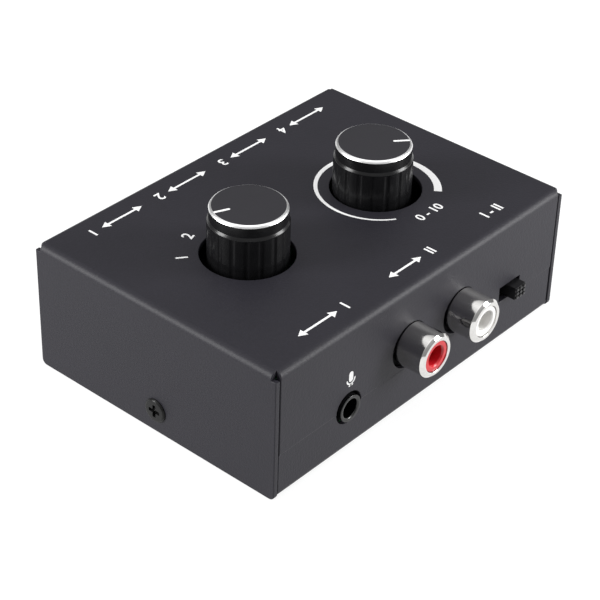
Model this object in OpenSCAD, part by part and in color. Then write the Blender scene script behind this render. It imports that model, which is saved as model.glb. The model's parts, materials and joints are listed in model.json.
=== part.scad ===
// Audio source selector: a folded sheet case with two knobs on top, sockets at the front
// and the back, a slide switch at the front, and one circuit board inside that carries them.
// Origin at the middle of the underside; +X to the right, +Y to the back, +Z up. Millimetres.

/* [Case] */
// Width of the case
case_w = 78; // [76:0.5:96]
// Depth of the case
case_d = 55.8; // [54:0.2:72]
// Height of the case without the knobs
case_h = 25.8; // [25:0.2:32]
// Thickness of the sheet
sheet_t = 1; // [0.8:0.1:1.2]
// Inner radius of the folds
fold_r = 0.4; // [0.2:0.1:0.8]
// Length left open at each end of a fold, so that two folds can meet at a corner
corner_cut = 1.2; // [1.2:0.1:2]
// Radius of the round relief at each top corner
relief_r = 0.6; // [0.4:0.1:0.9]
// Radius of the lower corners of the side flaps
flap_corner_r = 1.1; // [0.5:0.1:3]
// Gap at the seam where the cover's flanges meet the tray's flanges
seam_gap = 0.2; // [0.1:0.05:0.4]
// Gap between one end of a cover flange and the side flap, at the left for the front flange
flange_gap = 0.5; // [0.2:0.05:0.8]
// Gap at the other end of a cover flange
flange_far_gap = 0.15; // [0.1:0.05:0.4]
// Gap between the tray and the side flaps
tray_gap = 0.15; // [0.1:0.05:0.4]
// Length that a tray flange is shorter than the tray, at the right for the front flange
tray_flange_cut = 0.25; // [0:0.05:0.4]

/* [Side screws] */
// Side screws, behind the middle
side_screw_y = -0.8; // [-2:0.1:2]
// Height of the side screws above the underside
side_screw_z = 4.6; // [4.2:0.05:5]
// Thread diameter of the side screws
side_screw_d = 2.5; // [2:0.1:3]
// Length of the side screws under the head
side_screw_l = 4; // [3:0.5:5]
// Head diameter of the side screws
side_head_d = 4.6; // [4:0.1:6]
// Head height of the side screws
side_head_h = 0.45; // [0.3:0.05:0.8]
// Width of the tray's ears that take the side screws
ear_w = 12; // [8:0.5:20]
// Height of the ears above the underside
ear_h = 7.5; // [6.5:0.1:10]
// Width of the cut beside each ear
ear_cut = 1; // [0.5:0.1:2]
// Gap between the end of a side screw and the board
screw_end_gap = 1; // [0.5:0.1:2]
// Gap between the side of a side screw and the board
screw_side_gap = 2; // [0.5:0.1:4]

/* [Board] */
// Thickness of the board
board_t = 1.6; // [1:0.2:2]
// Gap between the board and the side flaps
board_gap_x = 1.8; // [1.5:0.1:3]
// Gap between the board and the front and rear flanges
board_gap_y = 0.6; // [0.3:0.1:1.5]
// Height of the standoffs under the board
standoff_h = 3.2; // [2.5:0.1:4.5]
// Diameter of the standoffs
standoff_d = 4.5; // [4:0.1:6]
// Distance of the standoffs from the board's left and right edges
standoff_inset_x = 3.7; // [3:0.1:5]
// Distance of the standoffs from the board's front and rear edges
standoff_inset_y = 6.3; // [3:0.1:8]
// Thread diameter of the board screws
board_screw_d = 2; // [1.6:0.1:2.5]
// Head diameter of the board screws
board_head_d = 3.8; // [3.2:0.1:4.5]
// Head height of the board screws
board_head_h = 1.3; // [0.8:0.1:2]
// Diameter of the soldered terminals
pin_d = 0.8; // [0.5:0.1:1]
// Length of the terminals below the board
pin_tail = 1.2; // [0.5:0.1:1.4]
// Distance of the terminals from the edges of the part above them
pin_inset = 1; // [0.8:0.1:1.6]
// Gap between the tip of a board screw and the tray
board_screw_gap = 0.4; // [0.2:0.1:1]

/* [Knobs] */
// Selector shaft, from the left side of the case
selector_inset = 23.2; // [20:0.1:25]
// Selector shaft, behind the middle
selector_y = -0.6; // [-3:0.1:4]
// Volume shaft, from the right side of the case
volume_inset = 24; // [20:0.1:26]
// Volume shaft, behind the middle
volume_y = -2.6; // [-4:0.1:4]
// Selector's panel hole, to the right of its shaft
selector_hole_dx = -0.3; // [-0.6:0.1:0.6]
// Selector's panel hole, behind its shaft
selector_hole_dy = -0.1; // [-0.6:0.1:0.6]
// Volume's panel hole, to the right of its shaft
volume_hole_dx = 0.6; // [-0.6:0.1:0.6]
// Volume's panel hole, behind its shaft
volume_hole_dy = -0.4; // [-0.6:0.1:0.6]
// Diameter of the panel holes that the knobs sink into
panel_hole_d = 16.8; // [16.4:0.1:19]
// Diameter of the knobs
knob_d = 14.4; // [13:0.1:14.4]
// Height of the knobs above the case
knob_rise = 9.5; // [7:0.1:14]
// Depth of the knobs below the top of the case
knob_sink = 7; // [3:0.1:8]
// Width of the cut rim round the knob's top
knob_rim = 0.6; // [0.3:0.05:1]
// Height of the smooth collar below the rim
collar_h = 1.9; // [1:0.1:3]
// Depth of the step from the skirt in to the collar
collar_step = 0.3; // [0.1:0.05:0.5]
// Height of the plain lip above the flutes
lip_h = 0.6; // [0.3:0.1:1]
// Number of flutes round the skirt
flute_count = 18; // [8:1:24]
// Radius of a flute
flute_r = 1; // [0.6:0.1:1.2]
// Depth of a flute
flute_depth = 0.15; // [0.1:0.05:0.3]
// Thickness of the knob's top
knob_top_t = 1.4; // [1:0.1:2]
// Diameter of the plastic core in the knob
core_d = 11.6; // [9:0.1:11.6]
// Height of the core above the knob's lower edge
core_recess = 0.5; // [0:0.1:1.5]
// Width of the pointer line
pointer_w = 0.5; // [0.3:0.05:1]
// Length of the pointer line
pointer_l = 3; // [1:0.1:4]
// Depth of the pointer line
pointer_depth = 0.15; // [0.05:0.05:0.4]
// Selector's pointer at rest, in degrees from +X
selector_angle = 156; // [0:1:359]
// Volume's pointer at rest, in degrees from +X
volume_angle = -41; // [-180:1:180]

/* [Shafts] */
// Diameter of both shafts
shaft_d = 6; // [5:0.1:6.4]
// Diameter of the shafts below their collars
journal_d = 4; // [3:0.1:4.5]
// Diameter of the shafts' collars
shaft_collar_d = 8; // [7.2:0.1:8.4]
// Thickness of the shafts' collars
shaft_collar_t = 0.8; // [0.5:0.1:1]
// Gap between a shaft and its bushing
shaft_play = 0.05; // [0.02:0.01:0.08]
// Outside diameter of the bushings
bushing_d = 8; // [7.4:0.1:9]
// Gap between a bushing and the knob above it
bushing_gap = 1; // [0.5:0.1:2]
// Width of the slit in a shaft's end
slit_w = 1; // [0.5:0.1:1.5]
// Depth of the slit in a shaft's end
slit_l = 6; // [3:0.5:8]
// Gap left above a shaft's end
shaft_tip_gap = 0.5; // [0.2:0.1:2]

/* [Selector switch] */
// Width of the selector's housing
selector_w = 16; // [15:0.5:18]
// Depth of the selector's housing
selector_d = 14; // [13.4:0.2:18]
// Thickness of the wafer under it
wafer_t = 1.2; // [0.8:0.1:1.6]
// Height of its housing
selector_h = 6.6; // [6.2:0.1:7.4]
// Diameter of the space inside it
selector_bore_d = 12.6; // [12.2:0.1:13]
// Thickness of its top wall
selector_top_t = 1; // [0.6:0.1:1.4]
// Diameter of the contact rotor
rotor_d = 11.6; // [10:0.1:11.8]
// Thickness of the contact rotor
rotor_t = 1.6; // [1:0.1:2]
// Height of the rotor above the wafer
rotor_lift = 1; // [0.6:0.1:1.2]
// Gap between the rotor and the detent wheel
detent_lift = 0.6; // [0.3:0.1:0.8]
// Diameter of the contact points under the rotor and the wiper
point_d = 1.2; // [0.8:0.1:1.4]
// Diameter of the detent wheel
detent_d = 10; // [9:0.1:10.4]
// Thickness of the detent wheel
detent_t = 1.4; // [1:0.1:1.6]
// Depth of the detent wheel's notches
notch_depth = 0.4; // [0.2:0.05:0.6]
// Diameter of the detent ball
ball_d = 2.8; // [2.2:0.1:2.8]
// Thickness of the detent spring
spring_t = 0.3; // [0.2:0.05:0.5]
// Length of the detent spring
spring_l = 9; // [6:0.5:12]
// Height of the detent spring
spring_h = 3; // [2:0.1:3.6]
// Turn between two positions, in degrees
detent_step = 36; // [30:6:36]
// Distance between neighbouring selector terminals
selector_pin_pitch = 3; // [2.5:0.1:3.4]

/* [Volume control] */
// Width of the volume control's housing
volume_w = 11; // [10.4:0.2:14]
// Depth of the volume control's housing
volume_d = 12; // [10.4:0.2:14]
// Thickness of its base
volume_base_t = 1; // [0.8:0.1:1.4]
// Height of its housing
volume_h = 5.8; // [5.4:0.1:7]
// Diameter of the space inside it
volume_bore_d = 9.4; // [9:0.1:9.8]
// Thickness of its top wall
volume_top_t = 0.6; // [0.4:0.1:1]
// Thickness of the resistance track
track_t = 0.3; // [0.2:0.05:0.4]
// Width of the resistance track
track_w = 1.6; // [1.2:0.1:1.8]
// Distance of the track inside the wiper's rim
track_inset = 0.4; // [0.2:0.1:0.6]
// Height of the wiper's disc above the track
wiper_lift = 0.8; // [0.5:0.1:1]
// Diameter of the wiper's disc
wiper_d = 8.6; // [7.6:0.1:8.8]
// Thickness of the wiper's disc
wiper_t = 1.6; // [1:0.1:2]
// Turn from the lowest to the highest setting, in degrees
volume_turn = 300; // [270:5:320]
// Distance between neighbouring volume terminals
volume_pin_pitch = 2.5; // [2:0.1:3.5]

/* [Bushing plates] */
// Thickness of the plates that carry the bushings
plate_t = 0.6; // [0.4:0.1:1]

/* [Phono sockets] */
// Outside diameter of the barrels
rca_d = 8.3; // [8:0.1:8.6]
// Diameter of the barrels' necks, inside the panel and the housing
rca_neck_d = 7.8; // [7.4:0.1:7.9]
// Distance of the barrels' shoulders in front of the panel
rca_shoulder = 0.05; // [0.05:0.05:0.3]
// Distance between the two barrels
rca_pitch = 14; // [13:0.5:18]
// Middle of the pair, to the right of the middle of the case
rca_x = 2.75; // [0:0.05:4]
// Height of the barrels' axis above the board
rca_rise = 8.1; // [7.6:0.1:10]
// Length of the barrels outside the case
rca_out = 5.8; // [3:0.1:12]
// Gap between a barrel and its panel hole
rca_hole_gap = 0.3; // [0.15:0.05:0.5]
// Panel holes of the barrels, to the right of their axes
rca_hole_dx = -0.2; // [-0.3:0.05:0.3]
// Panel holes of the barrels, above their axes
rca_hole_dz = -0.25; // [-0.3:0.05:0.3]
// Chamfer round the barrel's mouth
rca_chamfer = 0.5; // [0.2:0.05:0.8]
// Diameter of the coloured inserts
insert_d = 6; // [5.4:0.1:6.8]
// Depth of the insert's face inside the barrel
insert_recess = 0.2; // [0.1:0.05:0.6]
// Diameter of the insert's bore, which holds the centre contact
insert_bore_d = 3.7; // [3.6:0.05:3.9]
// Diameter of the insert's dished mouth
insert_mouth_d = 4.2; // [4:0.1:5]
// Depth of the insert's dished mouth
insert_mouth_l = 0.3; // [0.3:0.1:1]
// Depth of the barrels inside the housing
rca_seat = 3; // [2:0.1:5]
// Depth of the inserts inside the housing
insert_seat = 6; // [5.5:0.1:8]
// Wall of the centre contact
rca_contact_t = 0.2; // [0.15:0.05:0.3]
// Length of the centre contact
rca_contact_l = 6; // [3:0.1:8]
// Depth of the phono housing
rca_housing_d = 11; // [9:0.5:12]
// Distance of the phono terminals from the front and back of the housing
rca_pin_inset = 2; // [1:0.1:3]
// Wall of the phono housing round the barrels
rca_wall = 1; // [0.8:0.1:1.4]

/* [3.5 mm sockets] */
// Bore that takes the plug
jack_bore_d = 3.6; // [3.55:0.01:3.7]
// Outside diameter of the nose
nose_d = 5.1; // [4.9:0.1:5.5]
// Gap between a nose and its panel hole
nose_gap = 0.6; // [0.1:0.05:0.8]
// Length of the nose outside the panel
nose_out = 0.4; // [0.1:0.05:0.8]
// Wall of the metal sleeve in the nose
sleeve_t = 0.35; // [0.2:0.05:0.5]
// Length of the metal sleeve
sleeve_l = 4; // [3:0.1:5]
// Thickness of the sleeve's flange, which covers the end of the nose
sleeve_flange_t = 0.3; // [0.2:0.05:0.4]
// Height of the sockets' axis above the board
jack_rise = 3.2; // [3.1:0.1:4]
// Width of a socket's body
jack_w = 8; // [7:0.1:9]
// Length of a socket's body
jack_l = 11; // [10:0.5:12]
// Height of a socket's body
jack_h = 6.4; // [6:0.1:7]
// Front socket, from the left side of the case
mic_inset = 18.7; // [16:0.1:21]
// Outer rear sockets, from the standoffs beside them
rear_inset = 7.9; // [7:0.1:10]
// Distance of a sleeve's terminal behind the front of the body
sleeve_pin_inset = 1; // [0.8:0.1:2]
// Gap between the plug and the bore behind the sleeve
rear_bore_gap = 0.3; // [0.25:0.05:0.5]
// Gap between the plug and the contact springs
leaf_gap = 0.15; // [0.1:0.05:0.3]
// Height of the contact springs above the axis
leaf_rise = 1; // [0.5:0.1:1.4]
// Thickness of a socket's closed end
jack_end_t = 1; // [0.6:0.1:1.5]
// Thickness of the contact springs
leaf_t = 0.3; // [0.2:0.05:0.4]
// Length of the contact springs
leaf_l = 4; // [2:0.1:5]

/* [Slide switch] */
// Middle of the switch, from the right side of the case
switch_inset = 14.3; // [13:0.1:16]
// Height of the switch's axis above the seam
switch_rise = 1.35; // [1.35:0.05:2.5]
// Width of the slider's stem
stem_w = 3; // [2:0.1:3.4]
// Height of the slider's stem
stem_h = 2.5; // [2:0.1:2.6]
// Length of the stem outside the case
stem_out = 1.9; // [0.8:0.1:3]
// Travel of the slider
travel = 2.2; // [1.5:0.1:2.4]
// Gap between the stem and its slot at each side
slot_play = 0.4; // [0.2:0.05:0.6]
// Gap between the stem and the top of its slot
slot_play_z = 0.55; // [0.2:0.05:0.6]
// Depth of the grooves in the stem's end
stem_groove = 0.25; // [0.1:0.05:0.4]
// Width of the switch's frame
frame_w = 11; // [10.6:0.1:13]
// Depth of the switch's frame
frame_d = 4.5; // [4.3:0.1:6]
// Height of the switch's frame
frame_h = 5; // [4.8:0.1:6]
// Thickness of the frame's sheet
frame_t = 0.4; // [0.3:0.05:0.5]
// Width of the slider's block inside the frame
block_w = 7; // [6.4:0.1:7.4]
// Depth of the slider's block inside the frame
block_d = 2; // [1.5:0.1:2.2]
// Thickness of the switch's base
switch_base_t = 1; // [0.8:0.1:1.2]
// Distance between the switch's terminals
switch_pin_pitch = 2.5; // [2:0.1:3.5]

/* [Clearances] */
// Radial gap between pieces that are pressed together
fit = 0.02; // [0.01:0.01:0.04]
// Gap between a part inside a housing and the housing's walls
inner_gap = 0.2; // [0.15:0.05:0.3]
// Gap between the panels and the sockets behind them
panel_gap = 0.4; // [0.2:0.1:0.8]
// Radial gap round a screw or a terminal in its hole
hole_gap = 0.2; // [0.1:0.05:0.3]
// Radial gap round a screw in its thread
thread_gap = 0.05; // [0.02:0.01:0.1]

/* [Hidden] */
$fn = 64;
// Overlap of a cutting shape with the face that it cuts
eps = 0.05;

// Faces of the case
half_w = case_w / 2;
half_d = case_d / 2;
fold_out = fold_r + sheet_t;
inner_w = half_w - sheet_t;
inner_d = half_d - sheet_t;
tray_reach = inner_w - tray_gap;

// Heights of the board and of what stands on it
board_z = sheet_t + standoff_h;
board_top = board_z + board_t;
jack_z = board_top + jack_rise;
seam_z = jack_z;
rca_z = board_top + rca_rise;
switch_z = seam_z + switch_rise;

// Board outline and its screws
board_half_w = inner_w - board_gap_x;
board_half_d = inner_d - board_gap_y;
standoff_x = board_half_w - standoff_inset_x;
standoff_y = board_half_d - standoff_inset_y;
corners = [for (sx = [-1, 1], sy = [-1, 1]) [sx * standoff_x, sy * standoff_y]];
notch_l = side_screw_l + screw_end_gap;
notch_w = side_screw_d + 2 * screw_side_gap;

// Knobs and shafts
selector_x = selector_inset - half_w;
volume_x = half_w - volume_inset;
knob_h = knob_rise + knob_sink;
knob_z = case_h - knob_sink;
knob_r = knob_d / 2;
collar_r = knob_r - collar_step;
skirt_h = knob_h - knob_rim - collar_h;
bushing_top = knob_z - bushing_gap;
shaft_top = knob_z + knob_h - knob_top_t - shaft_tip_gap;

// Heights inside the selector switch
wafer_top = board_top + wafer_t;
selector_top = wafer_top + selector_h;
selector_roof = selector_top - selector_top_t;
rotor_z = wafer_top + rotor_lift;
detent_z = rotor_z + rotor_t + detent_lift;
ball_z = detent_z + detent_t / 2;
ball_x = detent_d / 2 + inner_gap / 2 + ball_d / 2;

// Heights inside the volume control
volume_base_top = board_top + volume_base_t;
volume_top = volume_base_top + volume_h;
volume_roof = volume_top - volume_top_t;
wiper_z = volume_base_top + track_t + wiper_lift;

// Panel holes and the slider's slot
nose_end = sheet_t + nose_out;
nose_hole_d = nose_d + 2 * nose_gap;
rca_hole_d = rca_d + 2 * rca_hole_gap;
switch_x = half_w - switch_inset;
slot_w = stem_w + travel + 2 * slot_play;
slot_top = switch_z + stem_h / 2 + slot_play_z;
mic_x = mic_inset - half_w;
rear_pitch = 2 * (standoff_x - rear_inset) / 3;
rear_x = [for (i = [0:3]) (i - 1.5) * rear_pitch];
rca_xs = [rca_x - rca_pitch / 2, rca_x + rca_pitch / 2];

// Places of a socket's terminals, from the middle of the panel's inner face
leaf_x = jack_bore_d / 2 + leaf_gap + leaf_t / 2;
leaf_y = panel_gap + sleeve_l + leaf_l / 2;
sleeve_pin_y = panel_gap + sleeve_pin_inset;
jack_pins = [[-leaf_x, leaf_y], [leaf_x, leaf_y], [0, sleeve_pin_y]];

// Places of the terminals on the board
selector_pins = [
    for (i = [-2:2], side = [-1, 1])
        [selector_x + i * selector_pin_pitch, selector_y + side * (selector_d / 2 - pin_inset)]
];
volume_pins = [
    for (i = [-1:1], side = [-1, 1])
        [volume_x + i * volume_pin_pitch, volume_y + side * (volume_d / 2 - pin_inset)]
];
rca_pin_ys = [panel_gap + rca_pin_inset, panel_gap + rca_housing_d - rca_pin_inset];
rca_pins = [for (x = rca_xs, y = rca_pin_ys) [x, y - inner_d]];
mic_pins = [for (p = jack_pins) [mic_x + p.x, p.y - inner_d]];
rear_pins = [for (x = rear_x, p = jack_pins) [x - p.x, inner_d - p.y]];
switch_pin_y = inner_gap + frame_d + pin_d;
switch_pins = [for (i = [-1:1]) [switch_x + i * switch_pin_pitch, switch_pin_y - inner_d]];
leg_w = 1.6;
leg_xs = [switch_x - frame_w / 2 + frame_t / 2, switch_x + frame_w / 2 - frame_t / 2];
leg_y = inner_gap + frame_d / 2 - inner_d;
all_pins = concat(selector_pins, volume_pins, rca_pins, mic_pins, rear_pins, switch_pins);

// Colours
sheet_colour = [0.2, 0.2, 0.21];
plastic_colour = [0.08, 0.08, 0.09];
metal_colour = [0.78, 0.78, 0.8];
brass_colour = [0.8, 0.65, 0.35];
board_colour = [0.1, 0.3, 0.16];
wafer_colour = [0.45, 0.3, 0.18];

// Quarter ring of a fold, from the upper face round to the front face
module fold_profile() {
    difference() {
        intersection() {
            circle(fold_out);
            translate([-fold_out, 0]) square(fold_out);
        }
        circle(fold_r);
    }
}

// Puts a flat profile upright: its x runs along Y, its y along Z and its thickness along X
module upright(thickness) {
    translate([-thickness / 2, 0, 0])
        rotate([90, 0, 90])
            linear_extrude(thickness) children();
}

// Puts a shape that is drawn along +Z so that it points out of the front panel
module facing_front() {
    rotate([90, 0, 0]) children();
}

// Fold along the top edge at the front; reach is the distance of the outer face from the middle
module top_fold(reach, length) {
    translate([0, fold_out - reach, case_h - fold_out]) upright(length) fold_profile();
}

// Outline of a side flap with rounded lower corners
module flap_outline() {
    r = flap_corner_r;
    translate([-half_d, r]) square([case_d, case_h - fold_out - r]);
    translate([r - half_d, 0]) square([case_d - 2 * r, case_h - fold_out]);
    for (side = [-1, 1]) translate([side * (half_d - r), r]) circle(r);
}

// Holes that the sockets and the slider need in the front and rear flanges
module panel_cuts() {
    depth = 2 * sheet_t + 2 * eps;
    for (x = rca_xs)
        translate([x + rca_hole_dx, eps + sheet_t - half_d, rca_z + rca_hole_dz])
            facing_front() cylinder(d = rca_hole_d, h = depth);
    translate([mic_x, eps + sheet_t - half_d, jack_z]) facing_front() cylinder(d = nose_hole_d, h = depth);
    for (x = rear_x)
        translate([x, half_d + sheet_t + eps, jack_z]) facing_front() cylinder(d = nose_hole_d, h = depth);
    translate([switch_x - slot_w / 2, -half_d - eps, seam_z - seam_gap / 2])
        cube([slot_w, sheet_t + 2 * eps, slot_top - seam_z + seam_gap / 2]);
}

// Round reliefs where two folds meet at a top corner
module corner_reliefs() {
    for (sx = [-1, 1], sy = [-1, 1])
        translate([sx * (half_w - sheet_t), sy * (half_d - sheet_t), case_h - fold_out]) sphere(relief_r);
}

// Holes for the side screws
module side_holes(d) {
    translate([-half_w - eps, side_screw_y, side_screw_z])
        rotate([0, 90, 0]) cylinder(d = d, h = case_w + 2 * eps);
}

// The cover is one folded sheet. It is cut at the lower ends of its folds into flat nodes that touch there.
// Top of the cover with its four folds
module top_cover() {
    color(sheet_colour) difference() {
        union() {
            translate([fold_out - half_w, fold_out - half_d, case_h - sheet_t])
                cube([case_w - 2 * fold_out, case_d - 2 * fold_out, sheet_t]);
            for (turn = [0, 180]) rotate([0, 0, turn]) top_fold(half_d, case_w - 2 * corner_cut);
            for (turn = [90, 270]) rotate([0, 0, turn]) top_fold(half_w, case_d - 2 * corner_cut);
        }
        translate([selector_x + selector_hole_dx, selector_y + selector_hole_dy, case_h - sheet_t - eps])
            cylinder(d = panel_hole_d, h = sheet_t + 2 * eps);
        translate([volume_x + volume_hole_dx, volume_y + volume_hole_dy, case_h - sheet_t - eps])
            cylinder(d = panel_hole_d, h = sheet_t + 2 * eps);
        corner_reliefs();
    }
}

// Side flap of the cover, at the left for side = -1 and at the right for side = 1
module cover_flap(side) {
    color(sheet_colour) difference() {
        translate([side * (half_w - sheet_t / 2), 0, 0]) upright(sheet_t) flap_outline();
        corner_reliefs();
        side_holes(side_screw_d + 2 * hole_gap);
    }
}

// Upper flange of the cover, at the front for turn = 0 and at the rear for turn = 180
module cover_flange(turn) {
    low = seam_z + seam_gap / 2;
    length = 2 * inner_w - flange_gap - flange_far_gap;
    color(sheet_colour) difference() {
        rotate([0, 0, turn])
            translate([flange_gap - inner_w, -half_d, low]) cube([length, sheet_t, case_h - fold_out - low]);
        corner_reliefs();
        panel_cuts();
    }
}

// Ear at the right of the tray, with the thread for a side screw
module tray_ear() {
    translate([tray_reach - fold_out, 0, fold_out])
        rotate([0, 0, 90]) mirror([0, 0, 1]) upright(ear_w) fold_profile();
    translate([tray_reach - sheet_t, -ear_w / 2, fold_out]) cube([sheet_t, ear_w, ear_h - fold_out]);
}

// The tray is one folded sheet too, and its flanges are cut off in the same way.
// Bottom of the tray with its front and rear folds and its two ears
module base_tray() {
    color(sheet_colour) difference() {
        union() {
            difference() {
                translate([-tray_reach, fold_out - half_d, 0])
                    cube([2 * tray_reach, case_d - 2 * fold_out, sheet_t]);
                for (side = [-1, 1])
                    translate([side * (tray_reach - fold_out / 2 + eps / 2), 0, sheet_t / 2])
                        cube([fold_out + eps, ear_w + 2 * ear_cut, sheet_t + 2 * eps], center = true);
            }
            for (turn = [0, 180]) rotate([0, 0, turn]) {
                translate([0, fold_out - half_d, fold_out])
                    mirror([0, 0, 1]) upright(2 * tray_reach) fold_profile();
                tray_ear();
            }
        }
        side_holes(side_screw_d + 2 * thread_gap);
    }
}

// Lower flange of the tray, at the front for turn = 0 and at the rear for turn = 180
module tray_flange(turn) {
    top = seam_z - seam_gap / 2;
    length = 2 * tray_reach - tray_flange_cut;
    color(sheet_colour) difference() {
        rotate([0, 0, turn])
            translate([-tray_reach, -half_d, fold_out]) cube([length, sheet_t, top - fold_out]);
        panel_cuts();
    }
}

// Pan-head screw with a cross recess; the head's underside is at z = 0 and the thread points down
module cross_screw(thread_d, length, head_d, head_h) {
    recess = head_h * 0.6;
    difference() {
        union() {
            translate([0, 0, -length]) cylinder(d = thread_d, h = length);
            cylinder(d1 = head_d, d2 = head_d - head_h, h = head_h);
        }
        for (turn = [0, 90])
            rotate([0, 0, turn])
                translate([0, 0, head_h - recess / 2 + eps])
                    cube([head_d * 0.56, head_d * 0.16, recess + 2 * eps], center = true);
    }
}

module side_screws() {
    color(plastic_colour)
        for (side = [-1, 1])
            translate([side * half_w, side_screw_y, side_screw_z])
                rotate([0, side * 90, 0])
                    cross_screw(side_screw_d, side_screw_l, side_head_d, side_head_h);
}

module main_board() {
    color(board_colour) difference() {
        translate([-board_half_w, -board_half_d, board_z])
            cube([2 * board_half_w, 2 * board_half_d, board_t]);
        translate([0, 0, board_z - eps]) {
            depth = board_t + 2 * eps;
            for (p = corners) translate(p) cylinder(d = board_screw_d + 2 * hole_gap, h = depth);
            for (p = all_pins) translate(p) cylinder(d = pin_d + 2 * hole_gap, h = depth);
            for (x = leg_xs) translate([x, leg_y]) cylinder(d = leg_w + 2 * hole_gap, h = depth);
            for (side = [-1, 1])
                translate([side * half_w, side_screw_y])
                    cube([2 * notch_l, notch_w, 4 * board_t], center = true);
        }
    }
}

module board_standoffs() {
    color(brass_colour)
        for (p = corners) translate([p.x, p.y, sheet_t]) difference() {
            cylinder(d = standoff_d, h = standoff_h);
            translate([0, 0, -eps]) cylinder(d = board_screw_d + 2 * thread_gap, h = standoff_h + 2 * eps);
        }
}

module board_screws() {
    color(metal_colour)
        for (p = corners) translate([p.x, p.y, board_top])
            cross_screw(board_screw_d, board_t + standoff_h - board_screw_gap, board_head_d, board_head_h);
}

// Terminals that go down through the board from the undersides of the parts on it
module terminals(places) {
    color(metal_colour)
        for (p = places)
            translate([p.x, p.y, board_z - pin_tail]) cylinder(d = pin_d, h = board_t + pin_tail);
}

// Block on the board, centred on [x, y]
module block(x, y, z, w, d, h) {
    translate([x - w / 2, y - d / 2, z]) cube([w, d, h]);
}

// Metal plate with the bushing of a shaft, from the top of a housing at z
module bushing_plate(x, y, z, w, d) {
    color(metal_colour) difference() {
        union() {
            block(x, y, z, w, d, plate_t);
            translate([x, y, z]) cylinder(d = bushing_d, h = bushing_top - z);
        }
        translate([x, y, z - eps]) cylinder(d = shaft_d + 2 * shaft_play, h = bushing_top - z + 2 * eps);
    }
}

// Slit shaft with a collar under the roof of its housing and a thin journal below
module shaft(x, y, foot, roof) {
    collar_z = roof - inner_gap - shaft_collar_t;
    color(metal_colour) translate([x, y, 0]) difference() {
        union() {
            translate([0, 0, foot]) cylinder(d = journal_d, h = collar_z - foot);
            translate([0, 0, collar_z]) cylinder(d = shaft_collar_d, h = shaft_collar_t);
            translate([0, 0, collar_z + shaft_collar_t])
                cylinder(d = shaft_d, h = shaft_top - collar_z - shaft_collar_t);
        }
        translate([-slit_w / 2, -shaft_d, shaft_top - slit_l]) cube([slit_w, 2 * shaft_d, slit_l + eps]);
    }
}

// Housing with a round space, open below, and a roof with a hole for the shaft
module shaft_housing(x, y, z, w, d, roof, top, bore_d) {
    difference() {
        block(x, y, z, w, d, top - z);
        translate([x, y, z - eps]) cylinder(d = bore_d, h = roof - z + eps);
        translate([x, y, z]) cylinder(d = shaft_d + 2 * inner_gap, h = top - z + eps);
    }
}

module selector_wafer() {
    color(wafer_colour) block(selector_x, selector_y, board_top, selector_w, selector_d, wafer_t);
}

module selector_housing() {
    color(plastic_colour) difference() {
        shaft_housing(
            selector_x, selector_y, wafer_top, selector_w, selector_d,
            selector_roof, selector_top, selector_bore_d
        );
        translate([selector_x, selector_y, ball_z])
            rotate([0, 90, 0]) cylinder(d = ball_d + inner_gap, h = selector_w / 2 + eps);
    }
}

module selector_bushing() {
    bushing_plate(selector_x, selector_y, selector_top, selector_w, selector_d);
}

module selector_shaft() {
    shaft(selector_x, selector_y, wafer_top + inner_gap, selector_roof);
}

// Disc with a hole that fits the journal of a shaft
module journal_disc(d, t) {
    difference() {
        cylinder(d = d, h = t);
        translate([0, 0, -eps]) cylinder(d = journal_d + 2 * fit, h = t + 2 * eps);
    }
}

// Contact carrier of the selector, with two contact points above the wafer
module selector_rotor() {
    reach = rotor_d / 2 - point_d;
    color(brass_colour) translate([selector_x, selector_y, rotor_z]) {
        journal_disc(rotor_d, rotor_t);
        for (side = [-1, 1])
            translate([side * reach, 0, wafer_top + inner_gap - rotor_z])
                cylinder(d = point_d, h = rotor_z - wafer_top - inner_gap + eps);
    }
}

module selector_detent_wheel() {
    notches = 360 / detent_step;
    color(metal_colour) translate([selector_x, selector_y, detent_z]) difference() {
        journal_disc(detent_d, detent_t);
        for (i = [0:notches - 1])
            rotate([0, 0, i * detent_step])
                translate([detent_d / 2 + ball_d / 2 - notch_depth, 0, -eps])
                    cylinder(d = ball_d, h = detent_t + 2 * eps);
    }
}

module selector_detent_ball() {
    color(metal_colour) translate([selector_x + ball_x, selector_y, ball_z]) sphere(d = ball_d);
}

module selector_detent_spring() {
    color(brass_colour)
        block(
            selector_x + selector_w / 2 + spring_t / 2, selector_y, ball_z - spring_h / 2,
            spring_t, spring_l, spring_h
        );
}

// Fluted knob shell, hollow from below, with a cut rim and a smooth collar that steps in above the skirt
module knob_shell(x, y, angle) {
    color(plastic_colour) translate([x, y, knob_z]) difference() {
        rotate_extrude() polygon([
            [core_d / 2, 0], [knob_r, 0], [knob_r, skirt_h], [collar_r, skirt_h],
            [collar_r, knob_h - knob_rim], [collar_r - knob_rim, knob_h],
            [0, knob_h], [0, knob_h - knob_top_t], [core_d / 2, knob_h - knob_top_t]
        ]);
        for (i = [0:flute_count - 1])
            rotate([0, 0, i * 360 / flute_count])
                translate([knob_r + flute_r - flute_depth, 0, -eps])
                    cylinder(r = flute_r, h = skirt_h - lip_h + eps);
        rotate([0, 0, angle])
            translate([collar_r - knob_rim - pointer_l, -pointer_w / 2, knob_h - pointer_depth])
                cube([pointer_l + knob_rim, pointer_w, pointer_depth + eps]);
    }
}

// Plastic core that grips the shaft inside a knob's shell
module knob_core(x, y) {
    color(plastic_colour) translate([x, y, knob_z + core_recess]) difference() {
        cylinder(d = core_d - 2 * fit, h = knob_h - knob_top_t - core_recess);
        translate([0, 0, -eps])
            cylinder(d = shaft_d + 2 * fit, h = knob_h - knob_top_t - core_recess + 2 * eps);
    }
}

module volume_base() {
    color(wafer_colour) block(volume_x, volume_y, board_top, volume_w, volume_d, volume_base_t);
}

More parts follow.
